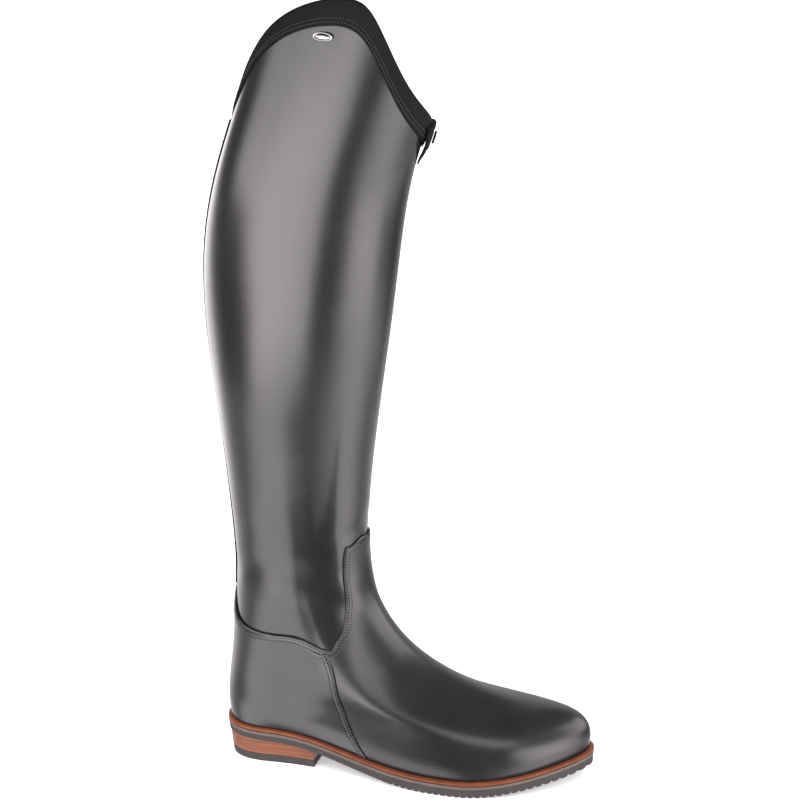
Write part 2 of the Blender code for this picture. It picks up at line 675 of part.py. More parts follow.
clear_scene()
build_boot()
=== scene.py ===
# %% [markdown]
# # A tall dress riding boot
# The boot stands on its sole, empty, with its outer side towards the camera. A boot maker pulls
# leather over a last, so nearly every piece here lies on one surface, the last, at a few
# millimetres from it. That is how this scene is built too: each piece is first made flat or
# round with plain mesh operators, with its thickness, and is then carried onto the last.
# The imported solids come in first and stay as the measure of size.

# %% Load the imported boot
import math
from collections import namedtuple

import bmesh
import bpy
import numpy as np
from mathutils import Matrix, Vector

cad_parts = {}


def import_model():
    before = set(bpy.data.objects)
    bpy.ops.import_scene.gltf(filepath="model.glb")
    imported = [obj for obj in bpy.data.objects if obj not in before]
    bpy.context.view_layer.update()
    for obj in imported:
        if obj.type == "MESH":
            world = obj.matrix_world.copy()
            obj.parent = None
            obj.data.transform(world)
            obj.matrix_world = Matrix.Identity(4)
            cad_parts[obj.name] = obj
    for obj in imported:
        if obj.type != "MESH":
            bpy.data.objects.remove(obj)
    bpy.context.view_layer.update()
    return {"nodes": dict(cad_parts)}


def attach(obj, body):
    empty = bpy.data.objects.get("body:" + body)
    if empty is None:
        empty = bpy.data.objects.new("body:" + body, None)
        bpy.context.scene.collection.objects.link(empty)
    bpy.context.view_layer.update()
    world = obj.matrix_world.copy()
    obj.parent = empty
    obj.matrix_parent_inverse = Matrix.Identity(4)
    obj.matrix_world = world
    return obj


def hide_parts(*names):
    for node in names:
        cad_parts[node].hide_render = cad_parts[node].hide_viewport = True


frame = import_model()

# %% [markdown]
# ## The last
# A last is described the way a pattern maker does it: sections up the leg, each with a back
# point, a front point and half widths between them. Sizes are millimetres, and stations are
# counted from the back of the heel. The tables are the same as in the solids, so that what is
# made here lies exactly where they do.

# %% Sections of the last
MM = 0.001
HEEL_CENTRE = 33.0
LAST_LENGTH = 264.0
TOE_SWING = 9.0
SWING_START = 95.0
SWING_FADE_LOW = 130.0
SWING_FADE_HIGH = 330.0
Section = namedtuple(
    "Section", "back_x back_z front_x front_z heel waist_out waist_in ball_out ball_in front "
    "back_round front_round follow")
SECTIONS = [
    (5.6, 27.5, 263, 20.5, 30, 31, 25, 49, 38.5, 33, 0.13, 0.34, 1),
    (4.4, 34.5, 264.6, 30.8, 31, 32, 27, 49, 38.8, 32, 0.14, 0.35, 0.9),
    (3.8, 43, 259.8, 42.6, 31.5, 32.2, 28.5, 47, 38, 29.5, 0.15, 0.37, 0.7),
    (4.2, 53.5, 242.5, 50.6, 31.5, 32, 29.5, 43.5, 37, 26.5, 0.17, 0.42, 0.45),
    (5.8, 67, 208.5, 55.6, 31.5, 32, 30.5, 39.5, 35.5, 25, 0.2, 0.5, 0.25),
    (7.8, 84, 169.6, 68, 32, 32.5, 31.5, 35.4, 33.6, 25, 0.25, 0.56, 0.1),
    (9.2, 104, 135.6, 89.3, 32.5, 33.5, 33, 34, 33.5, 27, 0.32, 0.57, 0),
    (9.8, 128, 113.6, 120.5, 34, 35, 34.5, 34.5, 34.5, 30.5, 0.41, 0.53, 0),
    (9.2, 158, 106.4, 156.5, 36, 37, 37, 36.5, 36.5, 34, 0.48, 0.5, 0),
    (7, 195, 107.6, 195, 39, 40, 40, 39, 39, 36, 0.5, 0.5, 0),
    (3.2, 235, 111.8, 235, 43, 43.5, 43.5, 42, 42, 38.5, 0.5, 0.5, 0),
    (-2.2, 280, 118, 280, 47, 47.5, 47.5, 45.5, 45.5, 41, 0.5, 0.5, 0),
    (-6.6, 330, 125.5, 330, 50, 50.5, 50.5, 48.5, 48.5, 43.5, 0.5, 0.5, 0),
    (-5.2, 385, 133, 385, 51, 51.5, 51.5, 50, 50, 45, 0.5, 0.5, 0),
    (6.2, 440, 143, 440, 50, 51, 51, 50, 50, 45, 0.5, 0.5, 0),
    (25.8, 500, 162, 500, 48, 50, 50, 49, 49, 44, 0.5, 0.5, 0),
    (47, 570, 184, 570, 46, 48, 48, 48, 48, 43, 0.5, 0.5, 0),
]
WIDTH_PLACES = (0.0, 0.3, 0.68, 1.0)   # heel, waist, ball and front, as shares of a section
print("sections:", len(SECTIONS))

# %% Side line of the sole, top line and seam lines
# station, upper's bottom edge, outsole's underside
SOLE_ROWS = [
    (0, 27.5, 18.2), (35, 27, 17.6), (66, 25, 15.4), (90, 20.8, 10.9), (110, 17, 6.6),
    (130, 13.8, 2.6), (150, 12, 0.3), (172, 11.5, -0.2), (192, 11.8, 0.2), (212, 13.3, 1.8),
    (237, 16.5, 5.2), (266, 20.9, 9.6),
]
# angle round the shaft from the front over the outer side, height of the top line
TOP_LINE = [
    (0, 479), (20, 490), (44, 512.5), (64, 542), (80, 563.5), (97, 568.5), (114, 563.5),
    (131, 552.5), (148, 534), (164, 509.5), (180, 487.5), (205, 469), (240, 460), (280, 458),
    (320, 464),
]
# angle, section number of the vamp's and then the counter's upper edge
SEAM_LINE = [
    (0, 8.42), (20, 8.43), (34, 8.34), (39.5, 8.05), (42.5, 7.45), (47, 7.05), (55, 6.68),
    (68, 6.26), (78, 5.98), (90, 6.16), (108, 6.18), (130, 6.08), (150, 6.14), (165, 6.42),
    (180, 6.95),
]
# section number, angle of the counter's front edge
COUNTER_EDGE = [
    (0, 98), (1.4, 102), (2.4, 102.8), (3.8, 98), (4.8, 90), (5.9, 80), (7.4, 81), (9.5, 88),
    (12, 90), (16, 90),
]
WALL = 2.2
OVERLAY = 1.3
COUNTER_OVERLAY = 1.8
GAP = 0.3
BAND_WIDTH = 17.0
BAND_INSIDE = 9.0
SQUARE_FOOT = 1.0

# %% [markdown]
# A natural spline runs smoothly through each table. It is worked out once from the table's
# rows, and then read for whole arrays of places at a time.

# %% Smooth curves through the tables


def natural_spline(places, values):
    """A smooth curve through a table's points; values may be a row of numbers each."""
    places = np.asarray(places, float)
    values = np.asarray(values, float)
    count = len(places)
    step = np.diff(places)
    matrix = np.eye(count)
    right = np.zeros(values.shape)
    for i in range(1, count - 1):
        matrix[i, i - 1:i + 2] = step[i - 1], 2 * (step[i - 1] + step[i]), step[i]
        right[i] = 6 * ((values[i + 1] - values[i]) / step[i]
                        - (values[i] - values[i - 1]) / step[i - 1])
    bend = np.linalg.solve(matrix, right)

    def curve(place):
        place = np.clip(np.asarray(place, float), places[0], places[-1])
        i = np.clip(np.searchsorted(places, place, side="right") - 1, 0, count - 2)
        past, left, width = place - places[i], places[i + 1] - place, step[i]
        if values.ndim == 2:
            past, left, width = past[..., None], left[..., None], width[..., None]
        return ((bend[i] * left ** 3 + bend[i + 1] * past ** 3) / (6 * width)
                + (values[i] / width - bend[i] * width / 6) * left
                + (values[i + 1] / width - bend[i + 1] * width / 6) * past)

    return curve


def ring_spline(rows):
    """A spline that closes on itself after 360 degrees."""
    before = [(angle - 360.0, value) for angle, value in rows]
    after = [(angle + 360.0, value) for angle, value in rows]
    curve = natural_spline(*zip(*(before[-4:] + list(rows) + after[:4])))
    return lambda angle: curve(np.mod(angle, 360.0))


section_at = natural_spline(range(len(SECTIONS)), SECTIONS)
edge_height = natural_spline([r[0] for r in SOLE_ROWS], [r[1] for r in SOLE_ROWS])
underside_line = natural_spline([r[0] for r in SOLE_ROWS], [r[2] for r in SOLE_ROWS])
top_height = ring_spline(TOP_LINE)
seam_section = natural_spline(*zip(*SEAM_LINE))
counter_edge = natural_spline(*zip(*COUNTER_EDGE))
FINE_SECTIONS = np.linspace(7.0, len(SECTIONS) - 1, 600)
FINE_HEIGHTS = section_at(FINE_SECTIONS)[:, 3]
print("top line runs from", TOP_LINE[13][1], "to", TOP_LINE[5][1], "mm")

# %% A point of the last, and a point some way outside it


def unit(vectors):
    """The same directions with length 1."""
    return vectors / np.linalg.norm(vectors, axis=-1, keepdims=True)


def hump(value, middle, width):
    """A soft hump of height 1 round a middle."""
    return np.exp(-((value - middle) / width) ** 2)


def mirror_angle(angle):
    """The same angle counted on the outer side, 0 at the front and 180 at the back."""
    angle = np.mod(angle, 360.0)
    return np.where(angle > 180.0, 360.0 - angle, angle)


def section_of_height(height):
    return np.interp(height, FINE_HEIGHTS, FINE_SECTIONS)


def end_round(share, reach):
    """How wide a section is near one end, 0 at the end and 1 past its rounded part."""
    power = 2.0 + (0.5 - np.minimum(reach, 0.5))
    return np.sqrt(np.maximum(1 - np.maximum(1 - share / reach, 0) ** power, 0))


def last_point(angle, section):
    """A point of the last: angle round the boot in degrees, section number up it."""
    angle, section = np.broadcast_arrays(np.asarray(angle, float), np.asarray(section, float))
    turn = np.radians(angle)
    row = Section(*np.moveaxis(section_at(section), -1, 0))
    share = 0.5 * (1 + np.cos(turn))
    outer = np.sin(turn) >= 0
    widths = (row.heel, np.where(outer, row.waist_out, row.waist_in),
              np.where(outer, row.ball_out, row.ball_in), row.front)
    width = 0.0
    for i, place in enumerate(WIDTH_PLACES):
        weight = 1.0
        for j, other in enumerate(WIDTH_PLACES):
            if j != i:
                weight = weight * (share - other) / (place - other)
        width = width + widths[i] * weight
    roundness = end_round(share, row.back_round) * end_round(1 - share, row.front_round)
    x = row.back_x + (row.front_x - row.back_x) * share
    straight = edge_height(0.0) + (edge_height(LAST_LENGTH) - edge_height(0.0)) * share
    z = row.back_z + (row.front_z - row.back_z) * share + row.follow * (edge_height(x) - straight)
    swing = np.clip((x - SWING_START) / (LAST_LENGTH - SWING_START), 0, 1) ** 2
    fade = np.clip((SWING_FADE_HIGH - z) / (SWING_FADE_HIGH - SWING_FADE_LOW), 0, 1) ** 2
    y = np.where(outer, -1, 1) * width * roundness + TOE_SWING * swing * fade
    return np.stack([x, y, z], -1)


def outward(angle, section):
    """The direction that points straight out of the last."""
    angle, section = np.broadcast_arrays(np.asarray(angle, float), np.asarray(section, float))
    low = np.maximum(section - 0.02, 0.0)
    high = np.minimum(section + 0.02, len(SECTIONS) - 1.0)
    up = last_point(angle, high) - last_point(angle, low)
    around = last_point(angle + 1.0, section) - last_point(angle - 1.0, section)
    normal = np.cross(up, around)
    normal[..., 2] *= np.clip(section / SQUARE_FOOT, 0, 1)
    return unit(normal)


def skin(angle, section, offset):
    """A point at a distance outside the last."""
    return last_point(angle, section) + outward(angle, section) * np.asarray(offset)[..., None]


def world(points):
    """From stations in millimetres to the boot's frame in metres."""
    return (np.asarray(points, float) - np.array((HEEL_CENTRE, 0.0, 0.0))) * MM


print("toe tip of the last:", np.round(last_point(0.0, 0.0), 1))

# %% [markdown]
# ## Soft troughs and ridges
# Even a new boot isn't a perfect tube. The leather dips a little over the ankle, where it has
# been bent on the last, and waves slightly up the calf. Each row below is one soft trough or
# ridge: where it lies, how long and how wide it is, and how deep. They are small, but polished
# leather shows them in its highlights.

# %% Folds of the shaft and the foot
MEAN_RADIUS = 45.0
Fold = namedtuple("Fold", "angle height tilt length width depth")
FOLDS = [Fold(*row) for row in (
    (8, 176, 8, 30, 6, -0.5),
    (-12, 186, -6, 34, 7, -0.4),
    (24, 140, 34, 34, 9, -0.45),
    (58, 132, 20, 46, 12, -0.55),
    (60, 160, 12, 60, 15, -0.5),
    (150, 150, -16, 50, 12, -0.6),
    (160, 176, -8, 60, 15, -0.45),
    (200, 160, 10, 60, 14, -0.6),
    (300, 140, -20, 50, 13, -0.55),
    (300, 172, -10, 60, 16, -0.45),
    (100, 250, 20, 110, 26, -0.35),
    (72, 330, 70, 130, 20, 0.3),
    (130, 390, 84, 150, 24, 0.35),
    (250, 300, 60, 150, 30, -0.4),
)]


def fold_depth(angle, point):
    """How far the folds push the leather out at each point."""
    depth = np.zeros(point.shape[:-1])
    for fold in FOLDS:
        away = np.mod(angle - fold.angle + 180.0, 360.0) - 180.0
        girth = np.radians(away) * MEAN_RADIUS
        above = point[..., 2] - fold.height
        turn = math.radians(fold.tilt)
        along = girth * math.cos(turn) + above * math.sin(turn)
        across = above * math.cos(turn) - girth * math.sin(turn)
        depth += fold.depth * hump(along, 0, fold.length) * hump(across, 0, fold.width)
    return depth


print("folds:", len(FOLDS))

# %% [markdown]
# ## Shapes
# Pieces that run all the way round are drawn as a flat profile in millimetres, out from the
# last and up, and turned with the spin operator round a far axis. Pieces that cover a part
# start as a grid that is extruded once, so that they have two faces and a rim.

# %% Make a ring and a slab
SPIN_RADIUS = 1000.0


def spun_profile(profile, steps):
    """A closed profile of (out, up) points, turned once round a far axis."""
    shape = bmesh.new()
    corners = [shape.verts.new((SPIN_RADIUS + out, 0.0, up)) for out, up in profile]
    for here, there in zip(corners, corners[1:] + corners[:1]):
        shape.edges.new((here, there))
    bmesh.ops.spin(shape, geom=shape.verts[:] + shape.edges[:], cent=(0, 0, 0), axis=(0, 0, 1),
                   angle=2 * math.pi, steps=steps, use_merge=True)
    bmesh.ops.remove_doubles(shape, verts=shape.verts[:], dist=0.0005)
    return shape


def unspin(start):
    """Reads a spun shape back: the angle in degrees and the distance out from the last."""
    angle = np.degrees(np.arctan2(start[:, 1], start[:, 0]))
    return angle, np.hypot(start[:, 0], start[:, 1]) - SPIN_RADIUS


def slab(columns, rows):
    """A grid with two faces and a rim; x and y run from 0 to 1, and z is 0 or 1."""
    shape = bmesh.new()
    bmesh.ops.create_grid(shape, x_segments=columns, y_segments=rows, size=0.5)
    bmesh.ops.translate(shape, verts=shape.verts[:], vec=(0.5, 0.5, 0.0))
    upper = bmesh.ops.extrude_face_region(shape, geom=shape.faces[:], use_keep_orig=True)
    raised = [part for part in upper["geom"] if isinstance(part, bmesh.types.BMVert)]
    bmesh.ops.translate(shape, verts=raised, vec=(0.0, 0.0, 1.0))
    return shape


print("rings are spun at", SPIN_RADIUS)

# %% [markdown]
# One function then carries every vertex of such a shape to its place on the last, all at once, and
# makes the object. Another hides the imported solids that it stands for and lets it ride.

# %% Carry a shape onto the last


def make_object(name, shape, looks):
    """Turns a finished shape into an object with its finishes."""
    mesh = bpy.data.meshes.new(name)
    shape.to_mesh(mesh)
    shape.free()
    for look in looks:
        mesh.materials.append(look)
    made = bpy.data.objects.new(name, mesh)
    bpy.context.scene.collection.objects.link(made)
    return made


def carry(shape, name, place, looks, smooth_under=50.0, second=None):
    """Moves every vertex of a shape by one function and makes the object. Faces whose corners
    all fall under the second test get the second finish."""
    start = np.array([vert.co[:] for vert in shape.verts])
    if second:
        for vert, chosen in zip(shape.verts, second(start)):
            vert.tag = bool(chosen)
        for face in shape.faces:
            face.material_index = int(all(vert.tag for vert in face.verts))
    for vert, spot in zip(shape.verts, world(place(start))):
        vert.co = spot
    bmesh.ops.recalc_face_normals(shape, faces=shape.faces[:])
    piece = make_object(name, shape, looks)
    piece.data.shade_smooth()
    piece.data.set_sharp_from_angle(angle=math.radians(smooth_under))
    print(name, "faces:", len(piece.data.polygons))
    return piece


def seat(piece, slot_name, *nodes):
    """Hides the solids that a piece stands for, and lets it ride on the root. The slot name is not
    used.
    """
    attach(piece, "root")
    if nodes:
        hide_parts(*nodes)
    return piece


def distance_to_line(points, line):
    """The distance from each point to the nearest point of a finely drawn line."""
    flat = points.reshape(-1, 3)
    nearest = np.empty(len(flat))
    for start in range(0, len(flat), 4000):
        part = flat[start:start + 4000, None, :] - line[None, :, :]
        nearest[start:start + 4000] = np.sqrt((part ** 2).sum(-1).min(1))
    return nearest.reshape(points.shape[:-1])


# %% [markdown]
# ## Nodes
# A finish is built from nodes. A few small functions add a node and feed it, so that the
# recipes further down stay short.

# %% Add and feed nodes


def feed(tree, socket, value):
    """Links a node's output to an input, or sets the input's own value."""
    if hasattr(value, "links"):
        tree.links.new(value, socket)
    else:
        socket.default_value = value


def add_node(tree, kind, inputs, **settings):
    """Adds a node with its settings; each input gets a value or another node's output."""
    node = tree.nodes.new("ShaderNode" + kind)
    for label, value in settings.items():
        setattr(node, label, value)
    for label, value in inputs.items():
        feed(tree, node.inputs[label], value)
    return node


def math_node(tree, operation, *values):
    """A Math node; each value is an output or a number."""
    return add_node(tree, "Math", dict(enumerate(values)), operation=operation).outputs[0]


def rise(tree, value, start, end, top=1.0, kind="SMOOTHSTEP"):
    """Goes from 0 to its top while a value goes from start to end."""
    return add_node(tree, "MapRange", {"Value": value, "From Min": start, "From Max": end,
                                       "To Max": top}, interpolation_type=kind).outputs["Result"]


def mix_colours(tree, under, over, share, blend="MIX"):
    """Lays one colour over another by a share from 0 to 1."""
    return add_node(tree, "Mix", {"A": under, "B": over, "Factor": share}, data_type="RGBA",
                    blend_type=blend).outputs["Result"]


def new_group(name, inputs, output):
    """A group with a vector, float inputs and one float output."""
    group = bpy.data.node_groups.new(name, "ShaderNodeTree")
    group.interface.new_socket("Vector", in_out="INPUT", socket_type="NodeSocketVector")
    for label, value in inputs.items():
        group.interface.new_socket(label, in_out="INPUT",
                                   socket_type="NodeSocketFloat").default_value = value
    group.interface.new_socket(output, in_out="OUTPUT", socket_type="NodeSocketFloat")
    return group, group.nodes.new("NodeGroupInput").outputs, group.nodes.new("NodeGroupOutput")


print("node helpers are ready")

# %% [markdown]
# Two effects come back in several finishes. One is the grain of the hide: small cells with
# soft creases between them. The other is the faint cloud that polish and handling leave. Both
# are built once as groups that take a vector and give out a height or a mask, and each finish
# sets its own scale.

# %% Grain of the hide and cloudy patches
hide_grain, given, result = new_group("Hide grain", {"Cells": 900.0, "Pores": 0.5}, "Height")
cells = add_node(hide_grain, "TexVoronoi", {"Vector": given["Vector"], "Scale": given["Cells"]},
                 feature="DISTANCE_TO_EDGE").outputs["Distance"]
pore_scale = math_node(hide_grain, "MULTIPLY", given["Cells"], 1.7)
pores = add_node(hide_grain, "TexNoise", {"Vector": given["Vector"], "Scale": pore_scale,
                                          "Detail": 3.0}).outputs["Fac"]
pore_height = math_node(hide_grain, "MULTIPLY", pores, given["Pores"])
crease_height = rise(hide_grain, cells, 0.0, 0.22)
feed(hide_grain, result.inputs["Height"],
     math_node(hide_grain, "ADD", crease_height, pore_height))

handling, given, result = new_group("Handling", {"Patches": 14.0}, "Cloud")
cloud = add_node(handling, "TexNoise", {"Vector": given["Vector"], "Scale": given["Patches"],
                                        "Detail": 4.0})
feed(handling, result.inputs["Cloud"], cloud.outputs["Fac"])
print("groups:", hide_grain.name, "and", handling.name)

# %% [markdown]
# ## Finishes
# Every finish is a Principled surface in which colour, roughness and height change over the
# surface. The polished calf leather is nearly black: what gives it its look is a thin coat of
# polish over a slightly rougher hide, so it gets a coat with its own lower roughness.

# %% Build a finish


def finish(name, dark, light, roughness, rough_spread, cells_scale, grain_mm, patches=14.0,
           coat=0.0, coat_roughness=0.1, metallic=0.0, specular=0.5, waves_mm=0.0):
    """A leather, rubber or metal: two shades, a roughness that varies, and its grain. Waves
    are the soft unevenness of stretched leather."""
    made = bpy.data.materials.new(name)
    made.use_nodes = True
    tree = made.node_tree
    surface = tree.nodes["Principled BSDF"].inputs
    for label, value in (("Metallic", metallic), ("Specular IOR Level", specular),
                         ("Coat Weight", coat), ("Coat Roughness", coat_roughness)):
        surface[label].default_value = value
    spot = tree.nodes.new("ShaderNodeTexCoord").outputs["Object"]
    mask = add_node(tree, "Group", {"Vector": spot, "Patches": patches},
                    node_tree=handling).outputs["Cloud"]
    feed(tree, surface["Base Color"], mix_colours(tree, (*dark, 1.0), (*light, 1.0), mask))
    feed(tree, surface["Roughness"],
         math_node(tree, "MULTIPLY_ADD", mask, rough_spread, roughness - rough_spread / 2))
    grain = add_node(tree, "Group", {"Vector": spot, "Cells": cells_scale},
                     node_tree=hide_grain).outputs["Height"]
    raised = add_node(tree, "Bump", {"Height": grain, "Distance": grain_mm * MM})
    if waves_mm:
        waves = add_node(tree, "Bump", {"Height": mask, "Distance": waves_mm * MM})
        feed(tree, raised.inputs["Normal"], waves.outputs["Normal"])
    feed(tree, surface["Normal"], raised.outputs["Normal"])
    return made


polished = finish("polished calf leather", (0.013, 0.0115, 0.013), (0.021, 0.019, 0.022), 0.22,
                  0.05, 1100.0, 0.005, patches=24.0, coat=0.5, coat_roughness=0.13,
                  waves_mm=0.35)
foot_leather = finish("polished foot leather", (0.012, 0.0105, 0.0115), (0.022, 0.019, 0.021),
                      0.32, 0.10, 1000.0, 0.006, patches=30.0, coat=0.40, coat_roughness=0.24,
                      waves_mm=0.6)
trim_leather = finish("soft trim leather", (0.0030, 0.0027, 0.0026), (0.0065, 0.0060, 0.0058),
                      0.75, 0.10, 900.0, 0.05, specular=0.22)
# Real blackened cut edges of the leather. The same dark finish is also painted shade in the welt's
# groove and in the buttons' grooves.
blackened_edge_and_painted_shade = finish("blackened cut edge and painted shade", (0.008, 0.007, 0.007), (0.014, 0.013, 0.013), 0.7,
                      0.1, 1500.0, 0.03)
lining = finish("lining leather", (0.020, 0.018, 0.017), (0.034, 0.031, 0.029), 0.66, 0.1,
                800.0, 0.03)
welt_leather = finish("rust welt leather", (0.100, 0.023, 0.008), (0.270, 0.074, 0.028), 0.48,
                      0.15, 1200.0, 0.02, patches=120.0, coat=0.1, coat_roughness=0.3,
                      specular=0.35)
# The light taupe of the midsole is a painted highlight: the light caught by the rounded top edge of
# the sole.
taupe_painted_highlight = finish("taupe midsole, painted highlight", (0.095, 0.066, 0.055), (0.170, 0.122, 0.104), 0.65,
                    0.1, 1500.0, 0.02, patches=90.0)
grey_rubber = finish("grey sole rubber", (0.036, 0.029, 0.028), (0.066, 0.055, 0.053), 0.8,
                     0.1, 1600.0, 0.02, patches=60.0)
thread = finish("waxed thread", (0.090, 0.086, 0.090), (0.170, 0.163, 0.168), 0.45, 0.1,
                3000.0, 0.02, patches=400.0)
dark_thread = finish("dark waxed thread", (0.030, 0.028, 0.029), (0.070, 0.066, 0.068), 0.5,
                     0.1, 3000.0, 0.02, patches=400.0)
# Black needle holes are painted shade where the thread goes through. The dark cards use the same
# black.
painted_hole_shade_and_card_black = finish("needle hole", (0.0010, 0.0010, 0.0010), (0.0020, 0.0020, 0.0020), 0.95,
                     0.05, 3000.0, 0.0, specular=0.0)
steel = finish("bright metal", (0.36, 0.36, 0.37), (0.48, 0.48, 0.49), 0.24, 0.06, 900.0, 0.0,
               metallic=1.0)
insole_leather = finish("tan insole leather", (0.22, 0.13, 0.07), (0.36, 0.23, 0.14), 0.7, 0.1,
                        900.0, 0.02)
print("finishes:", len(bpy.data.materials))

# %% [markdown]
# The heel is a stack of thin leather pieces glued together, sanded and dyed. Its side shows
# each one as a fine darker line. A noise that is squeezed flat in height gives these lines.

# %% Stacked heel leather
LINE_SQUEEZE = (18.0, 18.0, 900.0)
LINE_TINT = (0.70, 0.58, 0.52, 1.0)
stack = finish("stacked heel leather", (0.180, 0.053, 0.020), (0.325, 0.118, 0.054), 0.48, 0.12,
               1200.0, 0.012, patches=26.0, coat=0.15, coat_roughness=0.25, specular=0.35)
stack_tree = stack.node_tree
stack_colour = stack_tree.nodes["Principled BSDF"].inputs["Base Color"]
squeezed = add_node(stack_tree, "Mapping", {
    "Vector": stack_tree.nodes.new("ShaderNodeTexCoord").outputs["Object"],
    "Scale": LINE_SQUEEZE})
layers = add_node(stack_tree, "TexNoise", {"Vector": squeezed.outputs["Vector"], "Scale": 1.0,
                                           "Detail": 3.0}).outputs["Fac"]
lines = math_node(stack_tree, "SUBTRACT", 1.0, rise(stack_tree, layers, 0.36, 0.58, kind="LINEAR"))
feed(stack_tree, stack_colour, mix_colours(stack_tree, stack_colour.links[0].from_socket,
                                           LINE_TINT, lines, blend="MULTIPLY"))
print("heel lines added to", stack.name)

# %% [markdown]
# ## The upper
# The shaft and the foot under the overlays are one wall of leather and lining. Its profile is
# a tall thin loop: up the outside, over the top, and down the inside. The height in the
# profile is the share of the way from the bottom edge to the top line.

# %% Upper
UPPER_ROWS = 190
UPPER_COLUMNS = 216


def top_section(angle):
    return section_of_height(top_height(angle))


def place_upper(start):
    angle, out = unspin(start)
    section = start[:, 2] / 100.0 * top_section(angle)
    base = last_point(angle, section)
    return skin(angle, section, out + fold_depth(angle, base))


heights = np.linspace(0.0, 100.0, UPPER_ROWS)
wall_profile = [(0.0, h) for h in heights] + [(-WALL, h) for h in heights[::-1]]
upper = carry(spun_profile(wall_profile, UPPER_COLUMNS), "upper_leather", place_upper,
              [polished, lining], second=lambda start: unspin(start)[1] < -WALL / 2)
seat(upper, "polished_black_leather", "upper")

# %% [markdown]
# ## Vamp and counter
# Both are cut from thinner leather and stitched over the upper. Their edges are skived, that
# is pared thin, and turned in, so the leather rounds down to the edge, and each stitch row
# pulls it into a fine trough. Distances to the edge are measured on the real curve, so the
# troughs and the stitches run parallel to it.

# %% Edges of the overlays
ROW_ONE = 1.8
ROW_TWO = 4.4
ROW_TROUGH = 0.45
TROUGH_DEPTH = 0.12
SKIVE = 1.7
SKIVE_DEPTH = 0.60
PUFF = 0.06
SEAM_SLIT = 0.12


def seam_places(angles):
    """Angle and section number along the upper edge of the vamp and the counter."""
    return np.stack([angles, seam_section(mirror_angle(angles))], -1)


half_turn = np.linspace(0.0, 79.0, 420)
vamp_places = seam_places(np.concatenate([-half_turn[::-1], half_turn[1:]]))
vamp_line = last_point(*vamp_places.T)
front_rows = np.linspace(0.0, 5.95, 260)
front_edge = np.stack([counter_edge(front_rows), front_rows], -1)
counter_places = np.concatenate([front_edge, seam_places(np.linspace(79.5, 280.5, 1100)),
                                 (front_edge * (-1.0, 1.0) + (360.0, 0.0))[::-1]])
counter_line = last_point(*counter_places.T)
print("edge lines:", len(vamp_line), len(counter_line))

# %% [markdown]
# The grid's columns run up to the edge and its rows run along it. Where a column meets a row
# is found by stepping towards both in turn.

# %% Lay an overlay on the last
CROWD_TOP = 1.5


def overlay_height(thick, away):
    """The height of an overlay's face by distance from its edge."""
    pared = SKIVE_DEPTH * np.clip(1 - away / SKIVE, 0, 1) ** 2
    troughs = sum(hump(away, row, ROW_TROUGH) for row in (ROW_ONE, ROW_TWO))
    puff = PUFF * hump(away, (ROW_ONE + ROW_TWO) / 2, 2 * ROW_TROUGH)
    return thick - pared - TROUGH_DEPTH * troughs + puff


def on_rim(start):
    """Corners of a slab's cut edges: its two sides and its upper end."""
    return (start[:, 0] < 1e-4) | (start[:, 0] > 1 - 1e-4) | (start[:, 1] > 1 - 1e-4)


def lay_overlay(start, angle_of, edge_line, thick):
    """Places a slab whose columns follow angle_of, with its face pared towards the edge."""
    share = 1 - (1 - start[:, 1]) ** CROWD_TOP
    section = np.full(share.shape, 5.0)
    for _ in range(16):
        section = seam_section(mirror_angle(angle_of(section))) * share
    angle = angle_of(section)
    base = last_point(angle, section)
    face = overlay_height(thick, distance_to_line(base, edge_line))
    return skin(angle, section, GAP + face * start[:, 2] + fold_depth(angle, base))


# %% Vamp


def place_vamp(start):
    across = start[:, 0] * 2 - 1
    return lay_overlay(start, lambda at: across * (counter_edge(at) - SEAM_SLIT), vamp_line,
                       OVERLAY)


vamp = carry(slab(190, 130), "vamp_leather", place_vamp, [foot_leather, blackened_edge_and_painted_shade],
             second=on_rim)
seat(vamp, "polished_black_leather", "vamp")

# %% [markdown]
# The counter goes round the heel and lies over the vamp's edge, so its leather is thicker.

# %% Counter


def place_counter(start):
    round_share = 0.5 - 0.5 * np.cos(np.pi * start[:, 0])

    def angle_of(section):
        edge = counter_edge(section) + SEAM_SLIT
        return edge + (360.0 - 2 * edge) * round_share

    return lay_overlay(start, angle_of, counter_line, COUNTER_OVERLAY)


counter = carry(slab(230, 100), "counter_leather", place_counter, [polished, blackened_edge_and_painted_shade],
                second=on_rim)
seat(counter, "polished_black_leather", "counter")

# %% [markdown]
# ## Back strip
# The back seam is covered by a narrow strip. It is a slab again, with its long edges rounded
# down, and it runs from the counter's peak to the foot of the trim.

# %% Back strip
STRIP_HALF = 4.4
STRIP_THICK = 1.6
STRIP_ROUND = 0.7


def place_strip(start):
    side = start[:, 0] * 2 - 1
    low = seam_section(180.0) + 0.01
    high = section_of_height(top_height(180.0) - BAND_WIDTH) - 0.03
    section = low + (high - low) * start[:, 1]
    base = last_point(180.0, section)
    girth = np.abs(last_point(178.0, section)[:, 1]) / 2.0
    angle = 180.0 + side * STRIP_HALF / np.maximum(girth, 0.3)
    thick = STRIP_THICK - STRIP_ROUND * np.abs(side) ** 6
    out = GAP + thick * start[:, 2] + fold_depth(angle, base)
    return skin(angle, section, out)


strip = carry(slab(14, 180), "back_strip_leather", place_strip, [trim_leather])
seat(strip, "soft_black_leather", "back_strip")

# %% [markdown]
# ## Trim along the top line
# The trim is a soft matte strip, folded over the raw edge and stitched twice near its foot.
# Its profile is drawn once in millimetres, outside, over the roll and down the inside, spun,
# and hung on the top line. Near the front, where it bends most, it is gathered into a few
# small wrinkles.

